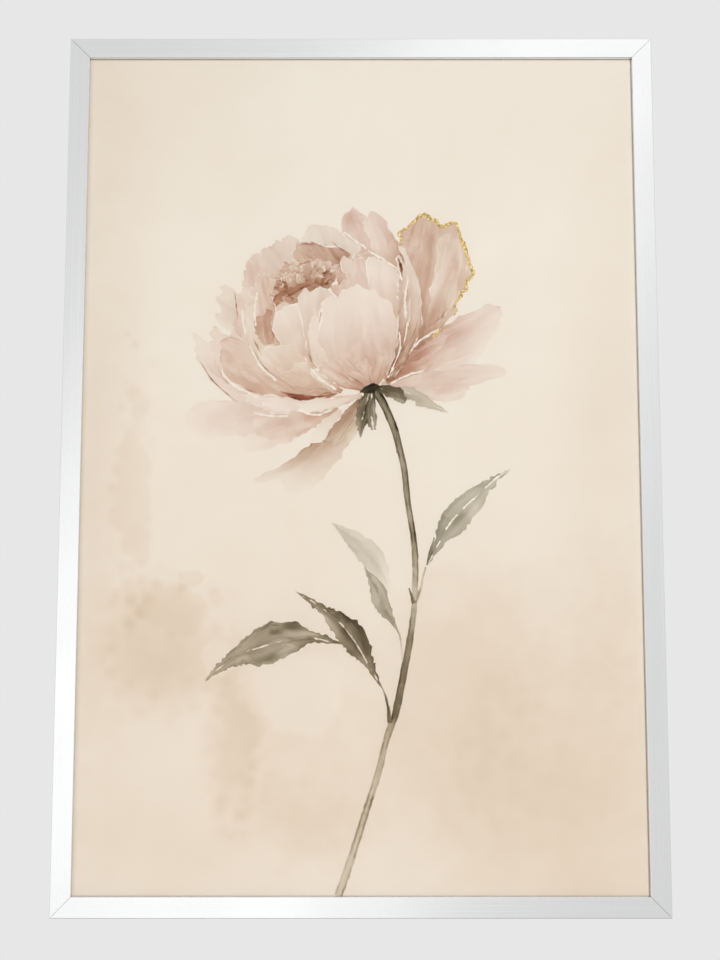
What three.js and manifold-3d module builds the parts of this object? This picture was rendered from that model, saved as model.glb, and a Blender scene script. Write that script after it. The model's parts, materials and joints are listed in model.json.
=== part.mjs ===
// A framed art print, 60 x 90 cm, in a flat-faced silver aluminium picture frame.
//
// Four mitred lengths of one extruded section are drawn together at the corners by pairs of angle plates,
// jacked apart by set screws in the channel on the back. Glass, print, backing card and fibreboard lie in the
// rabbet, and bowed spring clips under the keeper flange press them forward. A D-ring on a folded strap hangs
// on each side rail, and rubber bumpers hold the lower corners off the wall.
//
// Millimetres. +X is to the right, +Z is up, and the picture faces -Y. The origin is the centre of the part.
import * as THREE from "three";
import { mergeVertices } from "three/addons/utils/BufferGeometryUtils.js";
import Module from "manifold-3d";

const wasm = await Module();
wasm.setup();

// ---- Driving dimensions ----
const SHEET = { width: 600, height: 900 }; // the print, and everything cut to its size
const OVERLAP = 6; // how far the frame covers each edge of the sheets
const GAP = 0.3; // running gap between pieces that meet
const WALL_GAP_BUMPER = 5; // how far the bumpers hold the rails off the wall

// The extruded section. "across" runs outwards from the sight edge, "deep" runs back from the front face.
const SECTION = {
  face: 21.5, // width of the flat front face
  depth: 28,
  plate: 1.8, // thickness of the face and the outer wall
  web: 1.6, // thickness of the inner wall
  webAcross: 7, // where the inner wall starts
  hemDeep: 4.5, // how far the sight edge turns back
  frontRadius: 0.7,
  floor: 1.5, // thickness of the channel's floor, its lips and the keeper flange
  floorDeep: 18,
  keeperAcross: 1.5, // inner edge of the keeper flange
  mouthFrom: 10.7, // the channel's mouth, between its two lips
  mouthTo: 17.2,
};
const MITRE_GAP = 0.3;

const SHEETS = { glass: 2, printGap: 0.6, print: 0.3, card: 1, panel: 3 };
const CORNER = { width: 10.5, leg: 42, plain: 1.5, threaded: 3, screwAt: 30, endRadius: 2, clip: 2.5 };
const SET_SCREW = { radius: 1.9, socket: 1.2, socketDeep: 2.2, proud: 0.5 };
const CLIP = { length: 60, width: 8, steel: 0.6, inward: 3, foot: 5, alongTop: 160, alongSide: 300 };
const STRAP = { width: 10, steel: 0.8, screwFromHinge: 11, tail: 6, leafGap: 0.3, throat: 4.8 };
const STRAP_WRAP = 1.3 * Math.PI; // how far round the ring's wire the strap's loop goes
const RING = { wire: 2.4, width: 18, reach: 17, corner: 3, height: 230 };
const HANGER_SCREW = { radius: 1.9, headRadius: 3.6, headHeight: 2 };
const CROSS = { width: 0.9, reach: 2.2, deep: 1.2 }; // the recess in a hanger screw's head
const SCREW_TIP = 0.5; // chamfer at a hanger screw's tip
const PAN_HEAD = { wall: 0.6, crown: 0.75 }; // its straight wall and flat crown, as parts of height and radius
const SLIDE_NUT = { width: 10.5, length: 16, thick: 3 };
const BUMPER = { radius: 6, edge: 1.2, edgeSteps: 3, fromBottom: 50 };
const HOLE_RADIUS = SET_SCREW.radius + GAP;

// How finely round shapes are faceted.
const FACETS = {
  outline: 6,
  section: 4,
  setScrew: 16,
  screw: 20,
  hole: 20,
  bumper: 28,
  wire: 10,
  wireSteps: 56,
  strap: 14,
  clip: 20,
};

// ---- Sizes that follow ----
const sight = { width: SHEET.width - 2 * OVERLAP, height: SHEET.height - 2 * OVERLAP };
const half = { width: sight.width / 2, height: sight.height / 2 };
const channelAcross = (SECTION.mouthFrom + SECTION.mouthTo) / 2;
const channelInner = SECTION.webAcross + SECTION.web;
const channelFloorBack = SECTION.floorDeep + SECTION.floor;
const lipDeep = SECTION.depth - SECTION.floor;
const outerWall = SECTION.face - SECTION.plate;
const wallPlane = SECTION.depth + GAP + WALL_GAP_BUMPER;

// ---- Materials ----
function material(colour, roughness, metalness) {
  return new THREE.MeshStandardMaterial({ color: colour, roughness, metalness });
}
const silver = material(0xdadada, 0.25, 1);
const zinc = material(0xb9bcbe, 0.4, 1);
const springSteel = material(0x8d9196, 0.35, 1);
const clearGlass = material(0xeef4f2, 0.02, 0);
clearGlass.transparent = true;
clearGlass.opacity = 0.2;
const artPaper = material(0xe9ddc9, 0.9, 0);
const ivoryCard = material(0xe6dfcf, 0.95, 0);
const fibreboard = material(0x8a6a48, 0.85, 0);
const blackRubber = material(0x1d1d1d, 0.8, 0);

// ---- Placing ----
const part = new THREE.Group();
part.name = "framed_print";
part.position.y = -wallPlane / 2;

// Adds a geometry as a named mesh, with "deep" along +Y and the sheet's plane along X and Z.
function add(name, geometry, finish, position = [0, 0, 0], turnY = 0, parent = part) {
  const mesh = new THREE.Mesh(geometry, finish);
  mesh.name = name;
  mesh.position.set(...position);
  mesh.rotation.y = turnY;
  parent.add(mesh);
  return mesh;
}

// The same outline as straight edges, without the doubled points that stand where an arc meets a line.
function edged(outline, arcSegments) {
  const apart = (a, b) => a.distanceTo(b) > 1e-3;
  const distinct = (points) => points.filter((point, i) => apart(point, points[(i + 1) % points.length]));
  const { shape, holes } = outline.extractPoints(arcSegments);
  const plain = new THREE.Shape(distinct(shape));
  plain.holes = holes.map((hole) => new THREE.Path(distinct(hole)));
  return plain;
}

// An extrusion of a flat outline drawn in X and Z, from front to back.
function plate(outline, front, thickness) {
  const flat = edged(outline, FACETS.outline);
  const geometry = new THREE.ExtrudeGeometry(flat, { depth: thickness, bevelEnabled: false });
  geometry.rotateX(Math.PI / 2);
  geometry.translate(0, front + thickness, 0);
  return geometry;
}

function rectangle(width, height) {
  return new THREE.Shape([
    new THREE.Vector2(-width / 2, -height / 2),
    new THREE.Vector2(width / 2, -height / 2),
    new THREE.Vector2(width / 2, height / 2),
    new THREE.Vector2(-width / 2, height / 2),
  ]);
}

// ---- Cutting ----
function toSolid(geometry) {
  const bare = geometry.clone();
  bare.deleteAttribute("normal");
  bare.deleteAttribute("uv");
  const merged = mergeVertices(bare, 1e-4);
  const vertProperties = new Float32Array(merged.attributes.position.array);
  const triVerts = new Uint32Array(merged.index.array);
  return new wasm.Manifold(new wasm.Mesh({ numProp: 3, vertProperties, triVerts }));
}

function toGeometry(solid) {
  const mesh = solid.getMesh();
  const corners = new Float32Array(mesh.vertProperties);
  const geometry = new THREE.BufferGeometry();
  geometry.setAttribute("position", new THREE.BufferAttribute(corners, mesh.numProp));
  geometry.setIndex(new THREE.BufferAttribute(new Uint32Array(mesh.triVerts), 1));
  geometry.computeVertexNormals();
  return geometry;
}

function cut(geometry, ...tools) {
  return toGeometry(tools.reduce((left, tool) => left.subtract(toSolid(tool)), toSolid(geometry)));
}

// ---- Frame rails ----
function railSection() {
  const s = SECTION;
  const outline = new THREE.Shape();
  outline.moveTo(0, s.frontRadius);
  outline.absarc(s.frontRadius, s.frontRadius, s.frontRadius, Math.PI, 1.5 * Math.PI, false);
  outline.lineTo(s.face - s.frontRadius, 0);
  outline.absarc(s.face - s.frontRadius, s.frontRadius, s.frontRadius, 1.5 * Math.PI, 2 * Math.PI, false);
  outline.lineTo(s.face, s.depth);
  outline.lineTo(s.mouthTo, s.depth);
  outline.lineTo(s.mouthTo, lipDeep);
  outline.lineTo(outerWall, lipDeep);
  outline.lineTo(outerWall, channelFloorBack);
  outline.lineTo(channelInner, channelFloorBack);
  outline.lineTo(channelInner, lipDeep);
  outline.lineTo(s.mouthFrom, lipDeep);
  outline.lineTo(s.mouthFrom, s.depth);
  outline.lineTo(s.webAcross, s.depth);
  outline.lineTo(s.webAcross, channelFloorBack);
  outline.lineTo(s.keeperAcross, channelFloorBack);
  outline.lineTo(s.keeperAcross, s.floorDeep);
  outline.lineTo(s.webAcross, s.floorDeep);
  outline.lineTo(s.webAcross, s.plate);
  outline.lineTo(s.plate, s.plate);
  outline.lineTo(s.plate, s.hemDeep);
  outline.lineTo(0, s.hemDeep);
  outline.closePath();
  return outline;
}

// The closed chamber behind the face, between the web and the outer wall.
function chamberSection() {
  const chamber = new THREE.Shape();
  chamber.moveTo(channelInner, SECTION.plate);
  chamber.lineTo(outerWall, SECTION.plate);
  chamber.lineTo(outerWall, SECTION.floorDeep);
  chamber.lineTo(channelInner, SECTION.floorDeep);
  chamber.closePath();
  return chamber;
}

// A section as a bar along X, with its sight edge at Z = sightOut. Each end is mitred by moving its vertices
// along the bar by their distance from the sight edge, and runs past the mitre by "past".
function mitredBar(section, sightLength, sightOut, past) {
  const outline = edged(section, FACETS.section);
  const geometry = new THREE.ExtrudeGeometry(outline, { depth: 1, bevelEnabled: false });
  const position = geometry.attributes.position;
  for (let i = 0; i < position.count; i++) {
    const across = position.getX(i);
    const deep = position.getY(i);
    const end = position.getZ(i) > 0.5 ? -1 : 1;
    position.setXYZ(i, end * (sightLength / 2 + across + past), deep, sightOut + across);
  }
  return geometry;
}

// One rail as the top rail lies. The chamber is open at both mitred ends.
function railGeometry(sightLength, sightOut) {
  const bar = mitredBar(railSection(), sightLength, sightOut, -MITRE_GAP * Math.SQRT1_2);
  const chamber = mitredBar(chamberSection(), sightLength, sightOut, SECTION.face);
  return cut(bar, chamber);
}

const QUARTER = Math.PI / 2;
const horizontalRail = railGeometry(sight.width, half.height);
const verticalRail = railGeometry(sight.height, half.width);
add("rail_top", horizontalRail, silver);
add("rail_right", verticalRail, silver, [0, 0, 0], QUARTER);
add("rail_bottom", horizontalRail, silver, [0, 0, 0], 2 * QUARTER);
add("rail_left", verticalRail, silver, [0, 0, 0], 3 * QUARTER);

// ---- Corner plates and their set screws ----
// An angle plate with its outer corner at the origin and its legs along +X and +Z, as at the bottom left.
function angleOutline(holes) {
  const { width, leg, endRadius: r, clip } = CORNER;
  const outline = new THREE.Shape();
  outline.moveTo(clip, 0);
  outline.lineTo(leg - r, 0);
  outline.absarc(leg - r, r, r, -QUARTER, 0, false);
  outline.lineTo(leg, width - r);
  outline.absarc(leg - r, width - r, r, 0, QUARTER, false);
  outline.lineTo(width, width);
  outline.lineTo(width, leg - r);
  outline.absarc(width - r, leg - r, r, 0, QUARTER, false);
  outline.lineTo(r, leg);
  outline.absarc(r, leg - r, r, QUARTER, Math.PI, false);
  outline.lineTo(0, clip);
  outline.closePath();
  if (holes) {
    for (const [x, z] of screwSpots()) {
      const hole = new THREE.Path();
      hole.absarc(x, z, HOLE_RADIUS, 0, 2 * Math.PI, true);
      outline.holes.push(hole);
    }
  }
  return outline;
}

function screwSpots() {
  return [
    [CORNER.screwAt, CORNER.width / 2],
    [CORNER.width / 2, CORNER.screwAt],
  ];
}

function setScrewGeometry(front, back) {
  const length = back - front;
  const { radius, socket, socketDeep } = SET_SCREW;
  const body = new THREE.CylinderGeometry(radius, radius, length, FACETS.setScrew);
  body.translate(0, front + length / 2, 0);
  const hexagon = new THREE.CylinderGeometry(socket, socket, 2 * socketDeep, 6);
  hexagon.translate(0, back, 0);
  return cut(body, hexagon);
}

const plainFront = channelFloorBack + GAP;
const threadedFront = lipDeep - GAP - CORNER.threaded;
const plainPlate = plate(angleOutline(false), plainFront, CORNER.plain);
const threadedPlate = plate(angleOutline(true), threadedFront, CORNER.threaded);
const setScrew = setScrewGeometry(plainFront + CORNER.plain + GAP, lipDeep + SET_SCREW.proud);
const cornerOut = channelAcross + CORNER.width / 2; // the plates' outer edges, beyond the sight edge

const corners = [
  { name: "bottom_left", x: -1, z: -1, turn: 0 },
  { name: "top_left", x: -1, z: 1, turn: QUARTER },
  { name: "top_right", x: 1, z: 1, turn: 2 * QUARTER },
  { name: "bottom_right", x: 1, z: -1, turn: 3 * QUARTER },
];
for (const corner of corners) {
  const place = new THREE.Group();
  place.position.set(corner.x * (half.width + cornerOut), 0, corner.z * (half.height + cornerOut));
  place.rotation.y = corner.turn;
  part.add(place);
  add(`corner_plate_plain_${corner.name}`, plainPlate, zinc, [0, 0, 0], 0, place);
  add(`corner_plate_threaded_${corner.name}`, threadedPlate, zinc, [0, 0, 0], 0, place);
  screwSpots().forEach(([x, z], i) => {
    add(`set_screw_${corner.name}_${i + 1}`, setScrew, springSteel, [x, 0, z], 0, place);
  });
}

// ---- Glass, print, card and back panel ----
function sheetGeometry(front, thickness) {
  return plate(rectangle(SHEET.width, SHEET.height), front, thickness);
}

const glassFront = SECTION.hemDeep + GAP;
const printFront = glassFront + SHEETS.glass + SHEETS.printGap;
const cardFront = printFront + SHEETS.print + GAP;
const panelFront = cardFront + SHEETS.card + GAP;
const panelBack = panelFront + SHEETS.panel;
add("glass", sheetGeometry(glassFront, SHEETS.glass), clearGlass);
add("art_print", sheetGeometry(printFront, SHEETS.print), artPaper);
add("backing_card", sheetGeometry(cardFront, SHEETS.card), ivoryCard);
add("back_panel", sheetGeometry(panelFront, SHEETS.panel), fibreboard);

// ---- Ribbons of sheet steel ----
// The outline of a strip of even thickness along a line of points.
function ribbonOutline(points, thickness) {
  const sides = [[], []];
  points.forEach((point, i) => {
    const before = points[Math.max(i - 1, 0)];
    const after = points[Math.min(i + 1, points.length - 1)];
    const along = new THREE.Vector2().subVectors(after, before).normalize();
    const offset = new THREE.Vector2(-along.y, along.x).multiplyScalar(thickness / 2);
    sides[0].push(point.clone().add(offset));
    sides[1].unshift(point.clone().sub(offset));
  });
  return new THREE.Shape([...sides[0], ...sides[1]]);
}

// A strip bent along a line of points in X and Y, with its width along Z.
function ribbon(points, thickness, width) {
  const outline = ribbonOutline(points, thickness);
  const strip = new THREE.ExtrudeGeometry(outline, { depth: width, bevelEnabled: false });
  strip.translate(0, 0, -width / 2);
  return strip;
}

// ---- Spring clips ----
// A bowed strip that lies along X: flat feet on the back panel, and its crest under the keeper flange.
function springClipGeometry() {
  const low = panelBack + GAP + CLIP.steel / 2;
  const high = SECTION.floorDeep - GAP - CLIP.steel / 2;
  const reach = CLIP.length / 2;
  const points = [];
  for (let i = 0; i <= FACETS.clip; i++) {
    const x = -reach + (CLIP.length * i) / FACETS.clip;
    const bow = Math.max(0, 1 - Math.abs(x) / (reach - CLIP.foot));
    points.push(new THREE.Vector2(x, low + (high - low) * (1 - Math.cos(Math.PI * bow)) / 2));
  }
  return ribbon(points, CLIP.steel, CLIP.width);
}

const springClip = springClipGeometry();
const clipAcross = CLIP.width / 2 - CLIP.inward; // the clip's centre line, outwards from the sight edge
const alongTop = [-CLIP.alongTop, CLIP.alongTop];
const alongSide = [-CLIP.alongSide, 0, CLIP.alongSide];
const clipRows = [
  { side: "top", out: half.height, places: alongTop, turn: 0 },
  { side: "right", out: half.width, places: alongSide, turn: QUARTER },
  { side: "bottom", out: half.height, places: alongTop, turn: 2 * QUARTER },
  { side: "left", out: half.width, places: alongSide, turn: 3 * QUARTER },
];
for (const row of clipRows) {
  const side = new THREE.Group();
  side.rotation.y = row.turn;
  part.add(side);
  row.places.forEach((x, i) => {
    add(`spring_clip_${row.side}_${i + 1}`, springClip, springSteel, [x, 0, row.out + clipAcross], 0, side);
  });
}

// ---- Hangers ----
// Each hanger is drawn about its hinge axis, which is parallel to Z, with the strap's tail along +X.
const hingeInnerRadius = RING.wire / 2 + GAP;
const hingeDeep = SECTION.depth + GAP + STRAP.steel + hingeInnerRadius;

function strapGeometry() {
  const loop = hingeInnerRadius + STRAP.steel / 2;
  const tail = STRAP.screwFromHinge + STRAP.tail;
  const lowerLeaf = hingeDeep - loop;
  const upperLeaf = lowerLeaf + STRAP.steel + STRAP.leafGap;
  const points = [new THREE.Vector2(tail, lowerLeaf), new THREE.Vector2(tail / 2, lowerLeaf)];
  for (let i = 0; i <= FACETS.strap; i++) {
    const angle = -QUARTER - (STRAP_WRAP * i) / FACETS.strap;
    points.push(new THREE.Vector2(loop * Math.cos(angle), hingeDeep + loop * Math.sin(angle)));
  }
  const wrapEnd = points[points.length - 1];
  for (const run of [1 / 3, 2 / 3]) {
    const fall = (1 - run) ** 2; // the leaf flattens out as it nears the end of the throat
    const x = wrapEnd.x + (STRAP.throat - wrapEnd.x) * run;
    points.push(new THREE.Vector2(x, upperLeaf + (wrapEnd.y - upperLeaf) * fall));
  }
  points.push(new THREE.Vector2(STRAP.throat, upperLeaf), new THREE.Vector2(tail, upperLeaf));
  const drill = new THREE.CylinderGeometry(HOLE_RADIUS, HOLE_RADIUS, 4 * SECTION.floor, FACETS.hole);
  drill.translate(STRAP.screwFromHinge, upperLeaf, 0);
  return cut(ribbon(points, STRAP.steel, STRAP.width), drill);
}

// The ring is one bent wire whose ends nearly meet in the middle of its straight bar. It reaches along -X, and
// its far end is a half circle.
function ringGeometry() {
  const { width, reach, corner, wire } = RING;
  const side = width / 2;
  const path = new THREE.CurvePath();
  const point = (x, z) => new THREE.Vector3(x, hingeDeep, z);
  const arc = (cx, cz, radius, from, sweep) => {
    const curve = new THREE.Curve();
    curve.getPoint = (t, target = new THREE.Vector3()) => {
      const angle = from + sweep * t;
      return target.set(cx + radius * Math.cos(angle), hingeDeep, cz + radius * Math.sin(angle));
    };
    return curve;
  };
  const straight = reach - side;
  path.add(new THREE.LineCurve3(point(0, GAP / 2), point(0, side - corner)));
  path.add(arc(-corner, side - corner, corner, 0, QUARTER));
  path.add(new THREE.LineCurve3(point(-corner, side), point(-straight, side)));
  path.add(arc(-straight, 0, side, QUARTER, Math.PI));
  path.add(new THREE.LineCurve3(point(-straight, -side), point(-corner, -side)));
  path.add(arc(-corner, corner - side, corner, -QUARTER, QUARTER));
  path.add(new THREE.LineCurve3(point(0, corner - side), point(0, -GAP / 2)));
  const round = new THREE.Shape();
  for (let i = 0; i < FACETS.wire; i++) {
    const angle = (2 * Math.PI * i) / FACETS.wire;
    const at = [(wire / 2) * Math.cos(angle), (wire / 2) * Math.sin(angle)];
    if (i === 0) round.moveTo(...at);
    else round.lineTo(...at);
  }
  round.closePath();
  const sweep = { steps: FACETS.wireSteps, extrudePath: path, bevelEnabled: false };
  return new THREE.ExtrudeGeometry(round, sweep);
}

// A turned solid about the Y axis, from [radius, deep] pairs that start and end on the axis.
function lathe(profile, segments) {
  return new THREE.LatheGeometry(profile.map(([radius, deep]) => new THREE.Vector2(radius, deep)), segments);
}

// A pan-head screw with a cross recess, from the slide nut out through the strap.
function hangerScrewGeometry() {
  const s = HANGER_SCREW;
  const headFront = SECTION.depth + GAP + 2 * STRAP.steel + STRAP.leafGap + GAP;
  const tip = lipDeep - SLIDE_NUT.thick;
  const top = headFront + s.headHeight;
  const profile = [
    [0, tip],
    [s.radius - SCREW_TIP, tip],
    [s.radius, tip + SCREW_TIP],
    [s.radius, headFront],
    [s.headRadius, headFront],
    [s.headRadius, headFront + PAN_HEAD.wall * s.headHeight],
    [PAN_HEAD.crown * s.headRadius, top],
    [0, top],
  ];
  const body = lathe(profile, FACETS.screw);
  const bars = [0, QUARTER].map((turn) => {
    const bar = new THREE.BoxGeometry(2 * CROSS.reach, 2 * CROSS.deep, CROSS.width);
    bar.rotateY(turn);
    bar.translate(0, top, 0);
    return bar;
  });
  return cut(body, ...bars);
}

function slideNutGeometry() {
  const outline = rectangle(SLIDE_NUT.width, SLIDE_NUT.length);
  const hole = new THREE.Path();
  hole.absarc(0, 0, HOLE_RADIUS, 0, 2 * Math.PI, true);
  outline.holes.push(hole);
  return plate(outline, lipDeep - GAP - SLIDE_NUT.thick, SLIDE_NUT.thick);
}

function bumperGeometry() {
  const front = SECTION.depth + GAP;
  const { radius, edge, edgeSteps } = BUMPER;
  const profile = [
    [0, front],
    [radius, front],
  ];
  for (let i = 0; i <= edgeSteps; i++) {
    const angle = (QUARTER * i) / edgeSteps;
    profile.push([radius - edge * (1 - Math.cos(angle)), wallPlane - edge * (1 - Math.sin(angle))]);
  }
  profile.push([0, wallPlane]);
  return lathe(profile, FACETS.bumper);
}

const strap = strapGeometry();
const ring = ringGeometry();
const hangerScrew = hangerScrewGeometry();
const slideNut = slideNutGeometry();
const bumper = bumperGeometry();
const hingeAcross = channelAcross - STRAP.screwFromHinge;

for (const { name, turn } of [{ name: "right", turn: 0 }, { name: "left", turn: Math.PI }]) {
  const side = new THREE.Group();
  side.rotation.y = turn;
  part.add(side);
  const z = RING.height * Math.cos(turn);
  add(`hanger_strap_${name}`, strap, zinc, [half.width + hingeAcross, 0, z], 0, side);
  add(`hanger_ring_${name}`, ring, zinc, [half.width + hingeAcross, 0, z], 0, side);
  add(`hanger_screw_${name}`, hangerScrew, zinc, [half.width + channelAcross, 0, z], 0, side);
  add(`slide_nut_${name}`, slideNut, zinc, [half.width + channelAcross, 0, z], 0, side);
  const low = (BUMPER.fromBottom - half.height) * Math.cos(turn);
  add(`bumper_${name}`, bumper, blackRubber, [half.width + channelAcross, 0, low], 0, side);
}

export default part;
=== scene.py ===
"""Finishes a framed botanical print: its metal, glass, boards and hardware, and the artwork on its paper.

The flower is painted as thin films of ink, one for each brush shape, laid over one another just in front of
the paper. Every film takes its colour from the paper's own wash, darkened by the pigments that the film
carries, so that an edge where the pigment runs out is lost in the paper, as it is in a real watercolour.
"""

import json
import math
import random

import bmesh
import bpy
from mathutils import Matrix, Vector, noise

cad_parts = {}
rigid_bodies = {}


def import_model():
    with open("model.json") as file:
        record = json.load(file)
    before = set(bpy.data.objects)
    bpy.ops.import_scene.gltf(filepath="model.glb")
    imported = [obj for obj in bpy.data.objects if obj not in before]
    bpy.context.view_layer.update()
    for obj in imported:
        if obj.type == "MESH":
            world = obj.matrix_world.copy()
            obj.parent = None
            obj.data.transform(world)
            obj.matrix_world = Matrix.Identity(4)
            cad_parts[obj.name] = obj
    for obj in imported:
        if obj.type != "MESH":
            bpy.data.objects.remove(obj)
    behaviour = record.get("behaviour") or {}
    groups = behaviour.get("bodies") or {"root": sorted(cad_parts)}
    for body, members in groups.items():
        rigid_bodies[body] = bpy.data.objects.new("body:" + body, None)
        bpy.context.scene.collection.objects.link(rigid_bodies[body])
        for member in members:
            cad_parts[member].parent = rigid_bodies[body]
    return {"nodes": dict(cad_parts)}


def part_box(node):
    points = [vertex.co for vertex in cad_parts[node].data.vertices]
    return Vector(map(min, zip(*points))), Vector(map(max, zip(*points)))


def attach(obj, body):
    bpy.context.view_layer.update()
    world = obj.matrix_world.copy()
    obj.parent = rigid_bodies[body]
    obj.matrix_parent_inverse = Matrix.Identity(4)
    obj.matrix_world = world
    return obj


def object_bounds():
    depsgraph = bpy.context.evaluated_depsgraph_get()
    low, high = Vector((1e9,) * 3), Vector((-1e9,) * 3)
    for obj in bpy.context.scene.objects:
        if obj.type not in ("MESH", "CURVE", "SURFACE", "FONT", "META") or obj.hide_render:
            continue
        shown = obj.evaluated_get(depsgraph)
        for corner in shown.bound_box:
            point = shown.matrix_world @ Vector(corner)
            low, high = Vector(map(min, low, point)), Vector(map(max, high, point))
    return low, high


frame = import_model()
CAD_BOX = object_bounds()

bl_info = {
    "name": "Framed Botanical Print",
    "version": (1, 0, 0),
    "blender": (4, 5, 0),
    "location": "View3D > Sidebar > Framed Print",
    "description": "Finishes a metal picture frame and paints the print inside it",
    "category": "Object",
}

MM = 0.001
NODES = frame["nodes"]
PRINT_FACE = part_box("art_print")[0].y
GLASS_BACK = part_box("glass")[1].y
FRONT = CAD_BOX[0].y
# The height above the middle of the sheet where the paper is at its lightest; below it the paper darkens
# steadily towards the bottom.
PRINT_TOP = 0.46


# ---- Settings ------------------------------------------------------------------------------------


def colour_property(name, description, default):
    """A colour that can be changed in the sidebar."""
    return bpy.props.FloatVectorProperty(
        name=name, description=description, default=default, size=3, min=0.0, max=1.0, subtype="COLOR"
    )


def length_property(name, description, default):
    """A length in metres that can be changed in the sidebar."""
    return bpy.props.FloatProperty(
        name=name, description=description, default=default, unit="LENGTH", precision=6
    )


def power_property(name, description, default):
    """A lamp's power in watts that can be changed in the sidebar."""
    return bpy.props.FloatProperty(name=name, description=description, default=default, unit="POWER")


class PrintSettings(bpy.types.PropertyGroup):
    """The paper and the pigments of the printed watercolour"""

    paper: colour_property("Paper", "Colour of the bare washed paper", (0.835, 0.76, 0.681))
    tan: colour_property("Tan wash", "What a full wash of tan lets through", (0.83, 0.732, 0.645))
    rose: colour_property("Rose", "What one layer of rose lets through", (0.79, 0.61, 0.60))
    umber: colour_property("Umber", "What one layer of umber lets through", (0.68, 0.50, 0.39))
    olive: colour_property("Olive", "What one layer of olive lets through", (0.435, 0.435, 0.37))
    gold: colour_property("Gold", "Colour of the gold line", (0.62, 0.40, 0.12))
    film: length_property("Ink film", "Thickness of one film of ink", 0.000002)
    layer_step: length_property("Layer step", "Distance from one film of ink to the next", 0.0000034)


class MetalSettings(bpy.types.PropertyGroup):
    """The finishes of the frame and its hardware"""

    silver: colour_property("Silver", "Colour of the aluminium rails", (0.815, 0.818, 0.822))
    zinc: colour_property("Zinc", "Colour of the zinc-plated steel", (0.62, 0.63, 0.64))
    spring: colour_property("Spring steel", "Colour of the spring clips and set screws", (0.25, 0.27, 0.31))
    board: colour_property("Fibreboard", "Colour of the back panel", (0.27, 0.165, 0.09))
    card: colour_property("Card", "Colour of the backing card", (0.78, 0.72, 0.60))
    rubber: colour_property("Rubber", "Colour of the bumpers", (0.018, 0.018, 0.019))


class StageSettings(bpy.types.PropertyGroup):
    """The light, the floor and the camera"""

    backdrop: colour_property("Backdrop", "Colour of the soft light all round", (0.80, 0.80, 0.80))
    key_power: power_property("Key light", "Power of the light on the left", 22.0)
    fill_power: power_property("Fill light", "Power of the broad light in front", 162.0)
    rear_power: power_property("Rear light", "Power of the light on the back of the frame", 90.0)
    band_power: power_property("Light band", "Power of each slanting light that the rails mirror", 7.2)
    camera_distance: length_property("Camera distance", "From the frame's front face to the camera", 1.597)
    camera_height: length_property("Camera height", "Above the middle of the frame", -0.2197)
    camera_pitch: bpy.props.FloatProperty(
        name="Camera pitch", description="How far the camera looks up", default=math.radians(7.19),
        subtype="ANGLE",
    )
    lens: bpy.props.FloatProperty(
        name="Lens", description="Focal length on a sensor 36 mm high", default=57.6, unit="CAMERA"
    )


def settings(group):
    """The scene's group of settings with this name."""
    return getattr(bpy.context.scene, group)


# ---- Node trees ----------------------------------------------------------------------------------


class Tree:
    """Adds nodes to a shader tree. An input is a value, or the output socket that feeds it."""

    def __init__(self, tree):
        self.tree = tree

    def add(self, kind, inputs=None, **values):
        node = self.tree.nodes.new("ShaderNode" + kind)
        for name, value in values.items():
            setattr(node, name, value)
        for key, value in (inputs or {}).items():
            self.feed(node.inputs[key], value)
        return node

    def feed(self, socket, value):
        if isinstance(value, bpy.types.NodeSocket):
            self.tree.links.new(value, socket)
        else:
            socket.default_value = value

    def maths(self, operation, *values):
        return self.add("Math", dict(enumerate(values)), operation=operation).outputs[0]

    def vector(self, operation, *values):
        node = self.add("VectorMath", operation=operation)
        for i, value in enumerate(values):
            single = operation == "SCALE" and i == 1
            self.feed(node.inputs["Scale"] if single else node.inputs[i], value)
        return node.outputs["Value" if operation in ("LENGTH", "DISTANCE") else "Vector"]

    def blend(self, amount, first, second):
        return self.add("Mix", {"Factor": amount, 6: first, 7: second}, data_type="RGBA").outputs[2]

    def between(self, value, low, high, to_low=0.0, to_high=1.0):
        """The value's smooth way from low to high, as to_low to to_high."""
        inputs = {"Value": value, "From Min": low, "From Max": high, "To Min": to_low, "To Max": to_high}
        return self.add("MapRange", inputs, interpolation_type="SMOOTHSTEP").outputs[0]

    def noise(self, place, scale, detail=2.0, roughness=0.5, distortion=0.0):
        inputs = {"Vector": place, "Scale": scale, "Detail": detail}
        inputs.update({"Roughness": roughness, "Distortion": distortion})
        return self.add("TexNoise", inputs).outputs["Fac"]

    def swing(self, place, scale, amount, detail=2.0):
        """Noise from about -amount to +amount."""
        centred = self.maths("SUBTRACT", self.noise(place, scale, detail), 0.5)
        return self.maths("MULTIPLY", centred, 2 * amount)

    def objects(self):
        return self.add("TexCoord").outputs["Object"]

    def stretched(self, place, scale):
        return self.add("Mapping", {"Vector": place, "Scale": scale}).outputs[0]

    def attribute(self, name):
        return self.add("Attribute", attribute_name=name).outputs["Vector"]

    def parts(self, vector):
        return self.add("SeparateXYZ", {"Vector": vector}).outputs


def new_material(name):
    """An empty material and its node tree."""
    material = bpy.data.materials.new(name)
    material.use_nodes = True
    material.node_tree.nodes.clear()
    return material, Tree(material.node_tree)


def principled(tree, colour, roughness, normal=None, **sockets):
    """The material's shader. Sockets are given by name, with _ for a space."""
    inputs = {"Base Color": colour, "Roughness": roughness}
    inputs.update({name.replace("_", " "): value for name, value in sockets.items()})
    shader = tree.add("BsdfPrincipled", inputs)
    if normal is not None:
        tree.feed(shader.inputs["Normal"], normal)
    tree.add("OutputMaterial", {"Surface": shader.outputs[0]})
    return shader


def bump(tree, height, distance, strength=1.0):
    """A normal raised by height, which stands for this distance in metres."""
    return tree.add("Bump", {"Height": height, "Distance": distance, "Strength": strength}).outputs[0]


def rgba(colour, scale=1.0):
    """The colour, made lighter or darker, with its alpha."""
    return (*(min(1.0, channel * scale) for channel in colour), 1.0)


# ---- Frame and hardware finishes -----------------------------------------------------------------


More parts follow.
